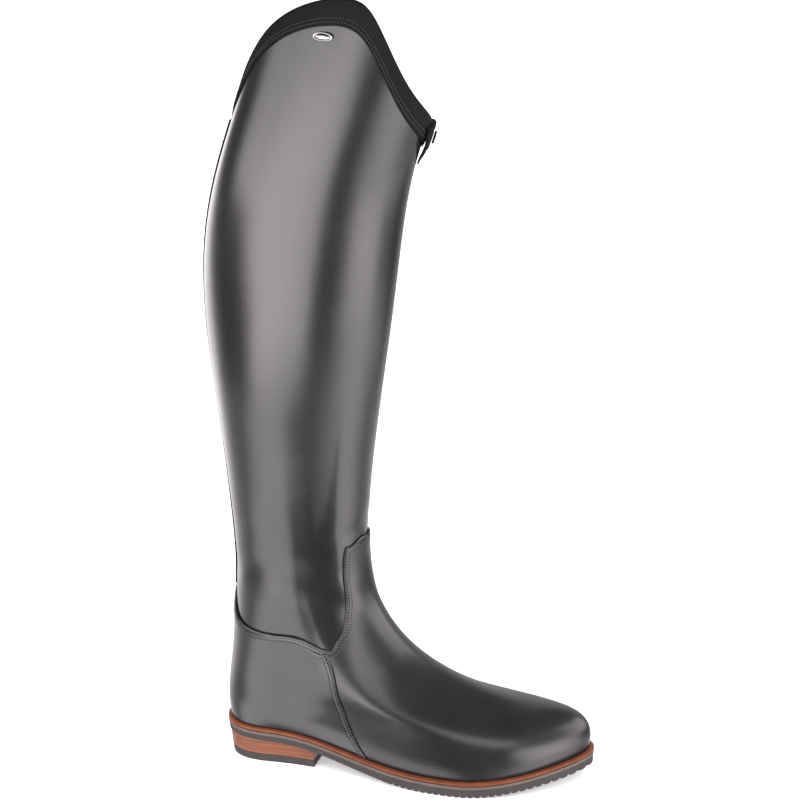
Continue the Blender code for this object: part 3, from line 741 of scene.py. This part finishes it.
# %% Trim
TAB_ANGLE = -7.0
TRIM_ROWS = (2.8, 5.6)
SWELL_FROM = 6.0
trim_low = np.linspace(-BAND_WIDTH, 0.0, 44)
roll = np.linspace(0.0, math.pi, 12)[1:-1]
roll_out = GAP + OVERLAY
fold_in = -WALL - 0.5
roll_in = fold_in - OVERLAY
middle_out = (roll_out + roll_in) / 2
half_roll = (roll_out - roll_in) / 2
trim_profile = [(roll_out, up) for up in trim_low]
trim_profile += [(middle_out + half_roll * math.cos(t), GAP + OVERLAY * math.sin(t)) for t in roll]
trim_profile += [(roll_in, up) for up in np.linspace(0.0, -BAND_INSIDE, 14)]
trim_profile += [(fold_in, -BAND_INSIDE), (fold_in, 0.0), (fold_in, GAP), (GAP, GAP), (GAP, 0.0),
                 (GAP, -BAND_WIDTH / 2), (GAP, -BAND_WIDTH)]


def place_trim(start):
    angle, out = unspin(start)
    up = start[:, 2]
    above_foot = up + BAND_WIDTH
    face = (out > GAP + 0.1) & (up < 0.05)
    troughs = sum(hump(above_foot, row, 0.6) for row in TRIM_ROWS)
    middle = np.clip((above_foot - SWELL_FROM) / (BAND_WIDTH - SWELL_FROM), 0, 1)
    swell = 0.35 * middle * (1 - np.clip(up / 3 + 1, 0, 1))
    pared = 0.5 * np.clip(1 - above_foot / 0.9, 0, 1) ** 2
    near_front = hump(np.mod(angle - TAB_ANGLE + 180.0, 360.0), 180.0, 17.0)
    wrinkle = np.sin(np.radians(angle * 38.0) + above_foot * 0.35)
    ripple = 0.30 * near_front * np.maximum(wrinkle, -0.4) * np.clip(above_foot / BAND_WIDTH, 0, 1)
    out = out + np.where(face, swell - pared - 0.16 * troughs + ripple, 0.0)
    section = section_of_height(top_height(angle) + np.minimum(up, 0.0))
    spot = skin(angle, section, out)
    spot[:, 2] += np.maximum(up, 0.0)
    return spot


trim = carry(spun_profile(trim_profile, 300), "top_trim", place_trim, [trim_leather])
seat(trim, "soft_black_leather", "top_band")

# %% [markdown]
# ## Front tab
# A small leaf of the trim leather is folded over the front of the top line and closed with a
# covered snap. It is a slab that narrows to a point, with two soft creases across it.

# %% Tab
TAB_LENGTH = 30.0
TAB_HALF = 7.5
FRONT_RADIUS = 34.0
TAB_BOW = 0.9
TAB_THICK = 3.0
TAB_TAPER = 0.55
TAB_HUG = OVERLAY + GAP + 0.4
SNAP_DOWN = 0.3
tab_root = float(top_height(TAB_ANGLE)) - 1.0


def place_tab(start):
    down = start[:, 1]
    side = start[:, 0] * 2 - 1
    half = TAB_HALF * np.maximum(1 - down ** 2.2, 0.06)
    angle = TAB_ANGLE + np.degrees(side * half / FRONT_RADIUS)
    hug = 1 - np.clip((down - 0.55) / 0.35, 0, 1)
    lift = GAP + TAB_HUG * hug + TAB_BOW * 4 * down * (1 - down)
    crease = -0.5 * hump(down, 0.16, 0.03) - 0.4 * hump(down, 0.62, 0.04)
    rim = -0.5 * np.abs(side) ** 8
    thick = TAB_THICK * (1 - TAB_TAPER * down) + rim + crease
    section = section_of_height(tab_root - TAB_LENGTH * down)
    return skin(angle, section, lift + np.where(start[:, 2] > 0.5, thick, 0.0))


tab = carry(slab(24, 60), "front_tab_leather", place_tab, [trim_leather])
seat(tab, "soft_black_leather", "front_tab")

# %% [markdown]
# The snap's cap and the plain oval stud near the peak are made by one function: a short cylinder
# whose top is inset a few times, to a rim, a groove and a dome, with its edges bevelled. The groove
# is dark, and that dark is painted shade.

# %% Snap cap and side stud
STUD_HEIGHT = 544.0
STUD_ANGLE = 99.5
SNAP_WIDTH = 9.0
# inset and rise of the rim, the groove and the rings of the dome
BUTTON_STEPS = [(0.16, 0.0), (0.09, -0.22), (0.14, 0.16), (0.16, 0.10), (0.18, 0.05), (0.16, 0.02)]
PAINTED_SHADE_GROOVE = 1


def domed_button(name, angle, section, out, wide, tall, thick, look):
    """A round or oval button with a rolled rim and a domed face, set square on the leather."""
    centre = skin(angle, section, out)
    out_way = outward(angle, section)
    up_way = unit(np.array([0.0, 0.0, 1.0]) - out_way * out_way[2])
    side_way = np.cross(up_way, out_way)
    shape = bmesh.new()
    bmesh.ops.create_cone(shape, cap_ends=True, segments=64, radius1=1.0, radius2=1.0, depth=1.0)
    top = [face for face in shape.faces if face.normal.z > 0.9]
    for number, (inset, step) in enumerate(BUTTON_STEPS):
        ring = bmesh.ops.inset_region(shape, faces=top, thickness=inset, depth=step)["faces"]
        for face in ring:
            # The groove's faces take the dark second finish: painted shade in the groove.
            face.material_index = int(number == PAINTED_SHADE_GROOVE)
    corners = [e for e in shape.edges if e.calc_face_angle(0.0) > 1.2]
    bmesh.ops.bevel(shape, geom=corners, offset=0.05, segments=3, profile=0.5, affect="EDGES",
                    material=-1)

    def place(start):
        return (centre + side_way * start[:, :1] * wide / 2 + up_way * start[:, 1:2] * tall / 2
                + out_way * (start[:, 2:] + 0.5) * thick)

    return carry(shape, name, place, [look, blackened_edge_and_painted_shade], smooth_under=60.0)


snap_section = float(section_of_height(tab_root - TAB_LENGTH * SNAP_DOWN))
snap_out = (GAP + TAB_HUG + TAB_BOW * 4 * SNAP_DOWN * (1 - SNAP_DOWN)
            + TAB_THICK * (1 - TAB_TAPER * SNAP_DOWN) + GAP)
snap = domed_button("tab_snap_cap", TAB_ANGLE, snap_section, snap_out, SNAP_WIDTH, SNAP_WIDTH,
                    1.6, trim_leather)
seat(snap, "soft_black_leather", "tab_snap")
stud_section = float(section_of_height(STUD_HEIGHT))
stud = domed_button("side_stud_metal", STUD_ANGLE, stud_section, GAP, 14.0, 5.6, 1.7, steel)
seat(stud, "bright_metal", "side_stud")

# %% [markdown]
# ## Stitches
# Each visible stitch is a short thick thread lying in its trough and going down at both ends.
# A stretched small ball, sunk halfway, reads just like that. A row is walked by length along
# its line, so that every stitch has the same size.

# %% Lines beside a seam


def inset_places(places, distance):
    """Moves (angle, section) places to one side of their own line, along the leather."""
    angle, section = places[:, 0], places[:, 1]
    spot = last_point(angle, section)
    along = unit(np.gradient(spot, axis=0))
    aside = np.cross(outward(angle, section), along) * distance
    by_angle = last_point(angle + 0.5, section) - last_point(angle - 0.5, section)
    by_section = (last_point(angle, section + 0.01) - last_point(angle, section - 0.01)) * 50.0
    steps = np.linalg.pinv(np.stack([by_angle, by_section], -1)) @ aside[..., None]
    moved = places + steps[..., 0]
    clear = distance_to_line(last_point(*moved.T), spot)
    return moved[(clear > abs(distance) - 0.25) & (moved[:, 1] > 0.03)]


inward = 1.0 if inset_places(vamp_places, 3.0)[:, 1].mean() < vamp_places[:, 1].mean() else -1.0
print("rows run inwards on side", inward)

# %% [markdown]
# All stitches of a piece are made as one flat strip first: one ball and one hole, doubled again and
# again. The hole is a black ball, painted shade where the needle went through. Each pair is then
# carried to its own place along the rows.

# %% Make a strip of stitches


def stitch_strip(count):
    """Stitches in a straight row, two units apart, each followed by a needle hole. A hole is
    made ten units higher, so that it can be told from its stitch."""
    shape = bmesh.new()
    bmesh.ops.create_uvsphere(shape, u_segments=8, v_segments=5, radius=0.5)
    bmesh.ops.create_uvsphere(shape, u_segments=8, v_segments=5, radius=0.5,
                              matrix=Matrix.Translation((0.0, 0.0, 10.0)))
    # The hole's black ball is painted shade in the needle hole.
    for face in shape.faces:
        face.material_index = int(face.calc_center_median().z > 5.0)
    made = 1
    while made < count:
        step = min(made, count - made)
        source = [vert for vert in shape.verts if vert.co.x < 2 * step - 1]
        edges = {edge for vert in source for edge in vert.link_edges}
        faces = {face for vert in source for face in vert.link_faces}
        copied = bmesh.ops.duplicate(shape, geom=source + list(edges) + list(faces))["geom"]
        moved = [part for part in copied if isinstance(part, bmesh.types.BMVert)]
        bmesh.ops.translate(shape, verts=moved, vec=(2.0 * made, 0.0, 0.0))
        made += step
    return shape


# %% Sew a row
STITCH = np.array([1.5, 0.72, 0.72])
HOLE = np.array([0.75, 0.75, 0.70])
PITCH = 2.1


def walk_row(places, out):
    """Middles and directions of the stitches along one row."""
    spots = skin(*places.T, out + fold_depth(places[:, 0], last_point(*places.T)))
    walked = np.concatenate([[0.0], np.cumsum(np.linalg.norm(np.diff(spots, axis=0), axis=1))])
    count = int(walked[-1] / PITCH)
    at = (np.arange(count) + 0.5) * walked[-1] / count
    spot, normal = (np.stack([np.interp(at, walked, column) for column in values.T], -1)
                    for values in (spots, outward(*places.T)))
    run = unit(np.gradient(spot, axis=0))
    normal = unit(normal - run * (normal * run).sum(1, keepdims=True))
    return spot, run, np.cross(normal, run), normal


def sewn_piece(name, rows, yarn):
    """Sews rows of stitches; a row is its places and how far out of the last it lies."""
    spot, run, across, normal = (np.concatenate(parts) for parts in
                                 zip(*(walk_row(places, out) for places, out in rows)))

    def place(start):
        number = np.rint(start[:, 0] / 2).astype(int)
        hole = start[:, 2] > 5.0
        size = np.where(hole[:, None], HOLE, STITCH)
        local = (start - np.stack([2 * number, 0 * number, 10 * hole], -1)) * size
        local[:, 0] += hole * PITCH / 2
        return (spot[number] + run[number] * local[:, :1] + across[number] * local[:, 1:2]
                + normal[number] * local[:, 2:])

    piece = carry(stitch_strip(len(spot)), name, place, [yarn, painted_hole_shade_and_card_black], smooth_under=70.0)
    print(name, "stitches:", len(spot))
    return seat(piece, "soft_black_leather")


# %% [markdown]
# Vamp and counter have two rows each beside their edges. The trim's rows run level, in a
# darker thread, near its foot.

# %% Rows of the vamp, the counter and the trim
THREAD_SINK = 0.02
TRIM_SINK = 0.10
for name, places, thick in (("vamp_stitches", vamp_places, OVERLAY),
                            ("counter_stitches", counter_places, COUNTER_OVERLAY)):
    sewn_piece(name, [(inset_places(places, inward * row), GAP + thick - THREAD_SINK)
                      for row in (ROW_ONE, ROW_TWO)], thread)
round_angles = np.linspace(0.0, 360.0, 1200)
sewn_piece("trim_stitches", [
    (np.stack([round_angles, section_of_height(top_height(round_angles) - BAND_WIDTH + row)], -1),
     GAP + OVERLAY - TRIM_SINK) for row in TRIM_ROWS], dark_thread)

# %% [markdown]
# ## Welt and sole
# The sole's outline is the bottom edge of the upper, moved outwards. The welt is a ring with a
# rounded lip. Midsole, outsole and heel are slabs: their long direction runs from heel to toe
# and their cross direction from side to side, and both faces follow the arch.

# %% Outline of the sole
SPREAD_START = 60.0
SPREAD_LENGTH = 90.0
CROWDING = 13.0
# how far each layer stands out past the last, at the heel and at the forefoot
SPREAD = {"welt": (4.8, 5.6), "midsole": (4.6, 5.4), "outsole": (4.1, 4.9), "heel": (3.4, 5.6)}


def crowd_ends(even):
    """Angles a little closer together at heel and toe, where the outline bends most."""
    return even - CROWDING * np.sin(np.radians(2 * even))


def outline(spread_heel, spread_toe, angle=None):
    """The bottom edge seen from above, moved outwards at heel and forefoot."""
    if angle is None:
        angle = crowd_ends(np.linspace(0.0, 360.0, 1440, endpoint=False))
    edge = last_point(angle, 0.0)[..., :2]
    along = last_point(angle + 0.5, 0.0)[..., :2] - last_point(angle - 0.5, 0.0)[..., :2]
    away = unit(np.stack([-along[..., 1], along[..., 0]], -1))
    forward = np.clip((edge[..., 0] - SPREAD_START) / SPREAD_LENGTH, 0, 1)
    spread = spread_heel + (spread_toe - spread_heel) * forward
    return edge + away * np.asarray(spread)[..., None]


def half_widths(edge, stations):
    """The outline's outer and inner side at each station from heel to toe."""
    turned = np.roll(edge, -np.argmin(edge[:, 0]), axis=0)
    tip = np.argmax(turned[:, 0])
    one, two = turned[:tip + 1], np.vstack([turned[tip:], turned[:1]])[::-1]
    sides = [np.interp(stations, side[:, 0], side[:, 1]) for side in (one, two)]
    return np.minimum(*sides), np.maximum(*sides)


print("layers:", ", ".join(SPREAD))

# %% [markdown]
# The welt's profile is drawn with its lip from 0 to 1, and the lip is then stretched to the spread
# at heel and forefoot. Under the upper's edge its top gets the dark finish as painted shade, the
# shadow in the groove where the upper meets the welt.

# %% Welt
WELT_THICK = 2.5
WELT_PAINTED_SHADE_TO = 0.41
welt_profile = [(-6.0, -WELT_THICK), (-6.0, 0.0), (-2.0, 0.0), (0.40, 0.0), (0.55, 0.0),
                (0.80, -0.10), (0.94, -0.32), (1.0, -0.60), (1.0, -1.25), (1.0, -1.95),
                (0.95, -2.3), (0.82, -WELT_THICK), (0.0, -WELT_THICK)]


def place_welt(start):
    even, share = unspin(start)
    heel_out, toe_out = (np.where(share > 0, reach * share, share) for reach in SPREAD["welt"])
    flat_spot = outline(heel_out, toe_out, crowd_ends(even))
    height = edge_height(flat_spot[:, 0]) - GAP + start[:, 2]
    return np.column_stack([flat_spot, height])


welt = carry(spun_profile(welt_profile, 360), "welt_strip", place_welt,
             [welt_leather, blackened_edge_and_painted_shade],
             # The dark second finish on the welt's inner top is painted shade in the groove under
             # the upper's edge.
             second=lambda start: (start[:, 2] > -0.01) & (unspin(start)[1] < WELT_PAINTED_SHADE_TO))
seat(welt, "rust_welt_leather", "welt")

# %% [markdown]
# A sole layer is a slab again. Its stations are closer together at both ends, its sides follow
# the outline, and a small bevel softens its edges.

# %% Midsole
MIDSOLE_THICK = 2.2


def wave_stations(start, end, count):
    """Stations from heel to toe, closer together near both ends."""
    wave = (1 - np.cos(np.linspace(0.0, math.pi, count))) / 2
    share = 0.8 * wave + 0.2 * np.linspace(0.0, 1.0, count)
    return start + 0.03 + (end - start - 0.06) * share


def sole_layer(name, edge, stations, top, bottom, look, round_edge, limit=50.0, splay=None):
    """A slab between two heights, inside an outline, with its edges rounded."""
    stations = np.sort(np.asarray(stations, float))
    left, right = half_widths(edge, stations)

    def place(start):
        index = np.rint(start[:, 0] * (len(stations) - 1)).astype(int)
        x = stations[index]
        y = left[index] + (right - left)[index] * start[:, 1]
        z = np.where(start[:, 2] > 0.5, top(x), bottom(x))
        if splay:
            x, y, z = splay(x, y, z)
        return np.stack([x, y, z], -1)

    piece = carry(slab(len(stations) - 1, 10), name, place, [look], smooth_under=limit)
    soften = piece.modifiers.new("Soft edges", "BEVEL")
    soften.width = round_edge * MM
    soften.segments = 2
    soften.limit_method = "ANGLE"
    soften.angle_limit = math.radians(limit)
    return piece


def welt_foot(x):
    return edge_height(x) - WELT_THICK - 2 * GAP


# The midsole's light taupe finish is a painted highlight, standing for the light that the sole's
# rounded top edge catches.
midsole_edge = outline(*SPREAD["midsole"])
midsole = sole_layer("midsole_layer", midsole_edge,
                     wave_stations(midsole_edge[:, 0].min(), midsole_edge[:, 0].max(), 200),
                     welt_foot, lambda x: welt_foot(x) - MIDSOLE_THICK, taupe_painted_highlight, 0.3)
seat(midsole, "taupe_midsole_edge", "midsole")

# %% [markdown]
# The outsole has cross ribs under the forefoot. They are cut in the height of its lower face,
# and stations are placed exactly where a rib begins and ends, so that the teeth stay crisp in
# the side view.

# %% Ribbed outsole
RIB_PITCH = 5.0
RIB_DEPTH = 1.3
RIB_LAND = 2.6
RIB_START = 132.0
outsole_edge = outline(*SPREAD["outsole"])
outsole_end = outsole_edge[:, 0].max()
rib_end = RIB_START + RIB_PITCH * math.floor((outsole_end - RIB_PITCH - RIB_START) / RIB_PITCH)


def ribbed_underside(x):
    phase = np.mod(x - RIB_START + 1e-6, RIB_PITCH)
    half = (RIB_PITCH - RIB_LAND) / 2
    cut = RIB_DEPTH * np.clip(1 - np.abs(phase - RIB_LAND - half) / half, 0, 1)
    inside = (x > RIB_START) & (x < rib_end + RIB_PITCH)
    return np.maximum(underside_line(x), 0.0) + np.where(inside, cut, 0.0)


rib_stations = np.concatenate([np.arange(RIB_START, rib_end, RIB_PITCH) + step
                               for step in (0.0, 1.3, RIB_LAND, 3.2, 3.8, 4.4)])
outsole_stations = np.concatenate([
    [x for x in wave_stations(outsole_edge[:, 0].min(), outsole_end, 150)
     if x < RIB_START - 0.5 or x > rib_end + 0.5], rib_stations])
outsole = sole_layer("outsole_rubber", outsole_edge, outsole_stations,
                     lambda x: welt_foot(x) - MIDSOLE_THICK - GAP, ribbed_underside,
                     grey_rubber, 0.12)
seat(outsole, "grey_rubber", "outsole")

# %% [markdown]
# The heel stops at its breast, a straight face under the arch, and draws in a little towards
# the floor. Its lowest layer is a rubber lift.

# %% Heel stack and top lift
HEEL_BREAST = 72.0
HEEL_DRAW_IN = 1.6
LIFT_TOP = 5.6
heel_edge = outline(*SPREAD["heel"])
heel_stations = np.append([x for x in wave_stations(heel_edge[:, 0].min(), 2 * HEEL_BREAST, 170)
                           if x < HEEL_BREAST - 0.6], HEEL_BREAST)
seat_height = float(underside_line(0.0))


def heel_splay(x, y, z):
    """Draws a layer in towards the floor."""
    draw_in = HEEL_DRAW_IN * (1 - z / seat_height)
    outer, inner = half_widths(heel_edge, x)
    half = (inner - outer) / 2
    across = (y - (inner + outer) / 2) / np.maximum(half, 1e-6)
    return x + draw_in * (1 - x / HEEL_BREAST), across * (half - draw_in), z


heel = sole_layer("heel_stack_leather", heel_edge, heel_stations,
                  lambda x: underside_line(x) - GAP, lambda x: 0 * x + LIFT_TOP + GAP, stack,
                  0.25, splay=heel_splay)
seat(heel, "tan_stacked_leather", "heel_stack")
lift = sole_layer("heel_lift_rubber", heel_edge, heel_stations, lambda x: 0 * x + LIFT_TOP,
                  lambda x: 0 * x, grey_rubber, 0.3, splay=heel_splay)
seat(lift, "grey_rubber", "heel_top_lift")
frame["nodes"]["insole"].data.materials.clear()
frame["nodes"]["insole"].data.materials.append(insole_leather)

# %% [markdown]
# ## Camera
# The photo was taken from far away with a long lens, slightly in front of the side view and
# from above, with the camera turned by less than a degree.

# %% Camera at the photo's angle
AIM = Vector((0.101, 0.0, 0.270))
FOCAL_LENGTH = 162.0
PHOTO_WIDTH = 800
SHIFT = (-3.4 / PHOTO_WIDTH, 7.1 / PHOTO_WIDTH)
AZIMUTH = math.radians(15.84)
ELEVATION = math.radians(20.0)
ROLL = math.radians(0.75)
DISTANCE = 2.5
back_way = Vector((math.sin(AZIMUTH) * math.cos(ELEVATION),
                   -math.cos(AZIMUTH) * math.cos(ELEVATION), math.sin(ELEVATION)))
right_way = Vector((math.cos(AZIMUTH), math.sin(AZIMUTH), 0.0))
up_way = back_way.cross(right_way)
view_right = right_way * math.cos(ROLL) - up_way * math.sin(ROLL)
view_up = right_way * math.sin(ROLL) + up_way * math.cos(ROLL)
lens = bpy.data.cameras.new("photo_camera")
lens.lens = FOCAL_LENGTH
lens.shift_x, lens.shift_y = SHIFT
lens.clip_end = 60.0
camera = bpy.data.objects.new("photo_camera", lens)
bpy.context.scene.collection.objects.link(camera)
standpoint = Matrix((view_right, view_up, back_way)).transposed().to_4x4()
standpoint.translation = AIM + back_way * DISTANCE
camera.matrix_world = standpoint
bpy.context.scene.camera = camera
print("camera at", np.round(camera.location, 3))

# %% [markdown]
# ## Floor and light
# Polished black leather is seen by what it mirrors. A photographer therefore hangs long soft
# panels round the boot: here a wide one in front on the left, a narrower one in front on the
# right and white walls behind, with dark gaps between them. They are painted on the inside of
# a wide open tube that only reflections see. The floor is pale, and soft lamps light the rest.

# %% Panels by bearing, in front of the shaft and of the foot
# bearing in degrees from the camera, strength
PANELS = [(-180, 0.6), (-160, 2.1), (-136, 2.3), (-122, 0.8), (-110, 0.20), (-98, 0.06),
          (-79, 0.06), (-70, 1.2), (-60, 4.6), (-48, 5.6), (-26, 5.3), (-10, 4.6), (0, 0.7),
          (6, 0.03), (17, 0.03), (25, 1.5), (33, 4.4), (46, 5.2), (60, 3.5), (70, 0.5),
          (79, 0.05), (108, 0.06), (124, 0.35), (140, 0.5), (180, 0.6)]
LOW_PANELS = [(-180, 1.2), (-120, 0.9), (-86, 0.6), (-72, 1.8), (-58, 2.7), (-18, 2.7),
              (-8, 1.2), (-1, 0.25), (14, 0.25), (26, 0.7), (40, 1.7), (54, 2.7), (74, 2.8),
              (92, 1.5), (105, 0.5), (130, 0.9), (180, 1.2)]
PANEL_TOP = 6.0
# height in the tube in metres, and how many degrees the panels lean over there
SWAY = [(-0.6, -14), (-0.5, -6), (-0.42, 9), (-0.33, 5), (-0.22, 9), (-0.12, 8), (-0.03, 4),
        (0.18, -4), (0.26, -14), (0.36, -30), (0.6, -38)]
SWAY_TOP = 0.6
SWAY_RANGE = 90.0
panels = bpy.data.materials.new("studio panels")
panels.use_nodes = True
tree = panels.node_tree
tree.nodes.clear()
inside = tree.nodes.new("ShaderNodeTexCoord").outputs["Object"]
turned = add_node(tree, "Mapping", {"Vector": inside,
                                    "Rotation": (0.0, 0.0, math.pi / 2 - AZIMUTH)})
split = add_node(tree, "SeparateXYZ", {"Vector": turned.outputs["Vector"]}).outputs
height = split["Z"]
bearing = math_node(tree, "ARCTAN2", split["Y"], split["X"])
print("panels:", len(PANELS), "low panels:", len(LOW_PANELS))

# %% [markdown]
# The edges of real panels aren't mirrored as straight lines, because the calf bulges. So the
# panels lean a little to the left or right with height, along a curve.

# %% Lean of the panels
sway = add_node(tree, "FloatCurve", {"Value": rise(tree, height, -SWAY_TOP, SWAY_TOP,
                                                   kind="LINEAR")})
lean = sway.mapping.curves[0].points
spots = [((up + SWAY_TOP) / (2 * SWAY_TOP), degrees / SWAY_RANGE + 0.5) for up, degrees in SWAY]
for spot in spots[1:-1]:
    lean.new(*spot)
lean[0].location = spots[0]
lean[len(lean) - 1].location = spots[-1]
sway.mapping.update()


def as_share(angle):
    """A bearing as a share of the whole round, 0.5 towards the camera."""
    return math_node(tree, "MULTIPLY_ADD", angle, 1 / (2 * math.pi), 0.5)


swayed = math_node(tree, "MULTIPLY_ADD", sway.outputs["Value"], -math.radians(SWAY_RANGE),
                   math.radians(SWAY_RANGE / 2))
share = as_share(math_node(tree, "ADD", bearing, swayed))
plain_share = as_share(bearing)
print("leans:", len(lean))

# %% [markdown]
# Each list of panels is painted on a colour ramp. The foot sees the low list and the shaft the
# other, with a soft change between them, and towards the top everything fades to dark. Two more
# panels hang high up, for the light on the toe and on the instep.

# %% Paint the panels


def glow_colour(bright):
    """A panel's strength as a slightly warm colour."""
    level = bright / PANEL_TOP
    return (level, level * 0.955, level * 0.975, 1.0)


def panel_ring(rows):
    """A colour ramp round the boot, from bearings and strengths."""
    ring = add_node(tree, "ValToRGB", {"Fac": share})
    stops = ring.color_ramp.elements
    while len(stops) < len(rows):
        stops.new(0.5)
    for stop, (degrees, bright) in zip(stops, rows):
        stop.position = degrees / 360.0 + 0.5
    for stop, (degrees, bright) in zip(stops, rows):
        stop.color = glow_colour(bright)
    return ring.outputs["Color"]


def window(value, places):
    """Rises and falls again softly over one value: four places in rising order."""
    return math_node(tree, "MULTIPLY", rise(tree, value, places[0], places[1]),
                     rise(tree, value, places[3], places[2]))


# heights, bearings as shares of the round, strength
HIGH_PANELS = [((0.04, 0.20, 1.1, 1.5), (0.660, 0.690, 0.800, 0.835), 3.0),
               ((0.30, 0.60, 1.0, 1.45), (0.435, 0.475, 0.545, 0.585), 2.6)]
TOP_GLOW = 0.02
colour = mix_colours(tree, panel_ring(LOW_PANELS), panel_ring(PANELS),
                     rise(tree, height, -0.50, -0.24))
earlier_on_left = rise(tree, share, 0.525, 0.490, top=0.75, kind="LINEAR")
upper_fade = rise(tree, math_node(tree, "ADD", height, earlier_on_left), 1.6, 0.9)
colour = mix_colours(tree, colour, glow_colour(TOP_GLOW),
                     math_node(tree, "SUBTRACT", 1.0, upper_fade))
for heights_lit, bearings_lit, bright in HIGH_PANELS:
    lit = math_node(tree, "MULTIPLY", window(height, heights_lit), window(plain_share, bearings_lit))
    colour = mix_colours(tree, colour, glow_colour(bright), lit)
glow = add_node(tree, "Emission", {"Color": colour, "Strength": PANEL_TOP})
add_node(tree, "OutputMaterial", {"Surface": glow.outputs["Emission"]})
print("nodes of the panels:", len(tree.nodes))

# %% [markdown]
# The panels are the inside of the tube. Two dark cards keep the low outer side of the foot from
# mirroring the bright floor: one lies beside it, and one stands upright in front. Only
# reflections see the tube and the cards.

# %% Reflector and dark cards
TUBE_RADIUS = 1.4
TUBE_HEIGHT = 3.0
# width and depth, middle, turn about the width
CARDS = [((0.235, 0.10), (0.1725, -0.16, 0.05), math.pi / 2),
         ((0.19, 0.28), (0.095, -0.225, 0.001), 0.0)]


def only_mirrored(thing):
    """Hides a thing from every ray but the glossy ones."""
    for ray in ("camera", "diffuse", "shadow", "transmission"):
        setattr(thing, "visible_" + ray, False)


tube = bmesh.new()
bmesh.ops.create_cone(tube, cap_ends=False, segments=96, radius1=TUBE_RADIUS,
                      radius2=TUBE_RADIUS, depth=TUBE_HEIGHT)
bmesh.ops.translate(tube, verts=tube.verts[:], vec=(0.05, 0.0, 0.35))
reflector = make_object("reflector", tube, [panels])
only_mirrored(reflector)
card_shape = bmesh.new()
for (wide, deep), middle, turn in CARDS:
    bmesh.ops.create_grid(card_shape, x_segments=1, y_segments=1, size=0.5,
                          matrix=Matrix.Translation(middle) @ Matrix.Rotation(turn, 4, "X")
                          @ Matrix.Diagonal((wide, deep, 1.0, 1.0)))
card = make_object("dark_card", card_shape, [painted_hole_shade_and_card_black])
only_mirrored(card)
print("cards:", len(CARDS))

# %% [markdown]
# The floor is pale and glows a little, so that it turns out white as in the photo and keeps the
# boot's soft shadow. The room is bright for everything but reflections, and three large lamps
# add some direction.

# %% Floor, sky and lamps
FLOOR_GLOW = 0.42
SKY_STRENGTH = 1.15
SKY_MIRRORED = 0.05
floor_shape = bmesh.new()
bmesh.ops.create_grid(floor_shape, x_segments=2, y_segments=2, size=12.0)
pale = bpy.data.materials.new("pale floor")
pale.use_nodes = True
for label, value in (("Base Color", (0.93, 0.93, 0.93, 1)), ("Roughness", 0.9),
                     ("Emission Color", (1, 1, 1, 1)), ("Emission Strength", FLOOR_GLOW)):
    pale.node_tree.nodes["Principled BSDF"].inputs[label].default_value = value
floor = make_object("floor", floor_shape, [pale])
floor.visible_glossy = False
sky = bpy.data.worlds.new("soft room")
sky.use_nodes = True
sky_tree = sky.node_tree
background = sky_tree.nodes["Background"].inputs
background["Color"].default_value = (1.0, 1.0, 1.0, 1.0)
mirrored = sky_tree.nodes.new("ShaderNodeLightPath").outputs["Is Glossy Ray"]
feed(sky_tree, background["Strength"],
     math_node(sky_tree, "MULTIPLY_ADD", mirrored, SKY_MIRRORED - SKY_STRENGTH, SKY_STRENGTH))
bpy.context.scene.world = sky
# name, place, width in metres, power in watts
LAMPS = [("key", (-0.9, -1.6, 2.2), 1.4, 30.0), ("fill", (1.7, -1.0, 1.5), 1.2, 16.0),
         ("back", (0.2, 1.8, 2.0), 1.6, 16.0)]
LAMP_AIM = Vector((0.1, 0.0, 0.2))
for name, spot, size, power in LAMPS:
    lamp = bpy.data.lights.new(name, "AREA")
    lamp.size = size
    lamp.energy = power
    holder = bpy.data.objects.new(name, lamp)
    bpy.context.scene.collection.objects.link(holder)
    holder.location = spot
    holder.rotation_euler = (Vector(spot) - LAMP_AIM).to_track_quat("Z", "Y").to_euler()
    holder.visible_glossy = False
bpy.context.scene.view_settings.view_transform = "Standard"
print("lamps:", len(LAMPS))
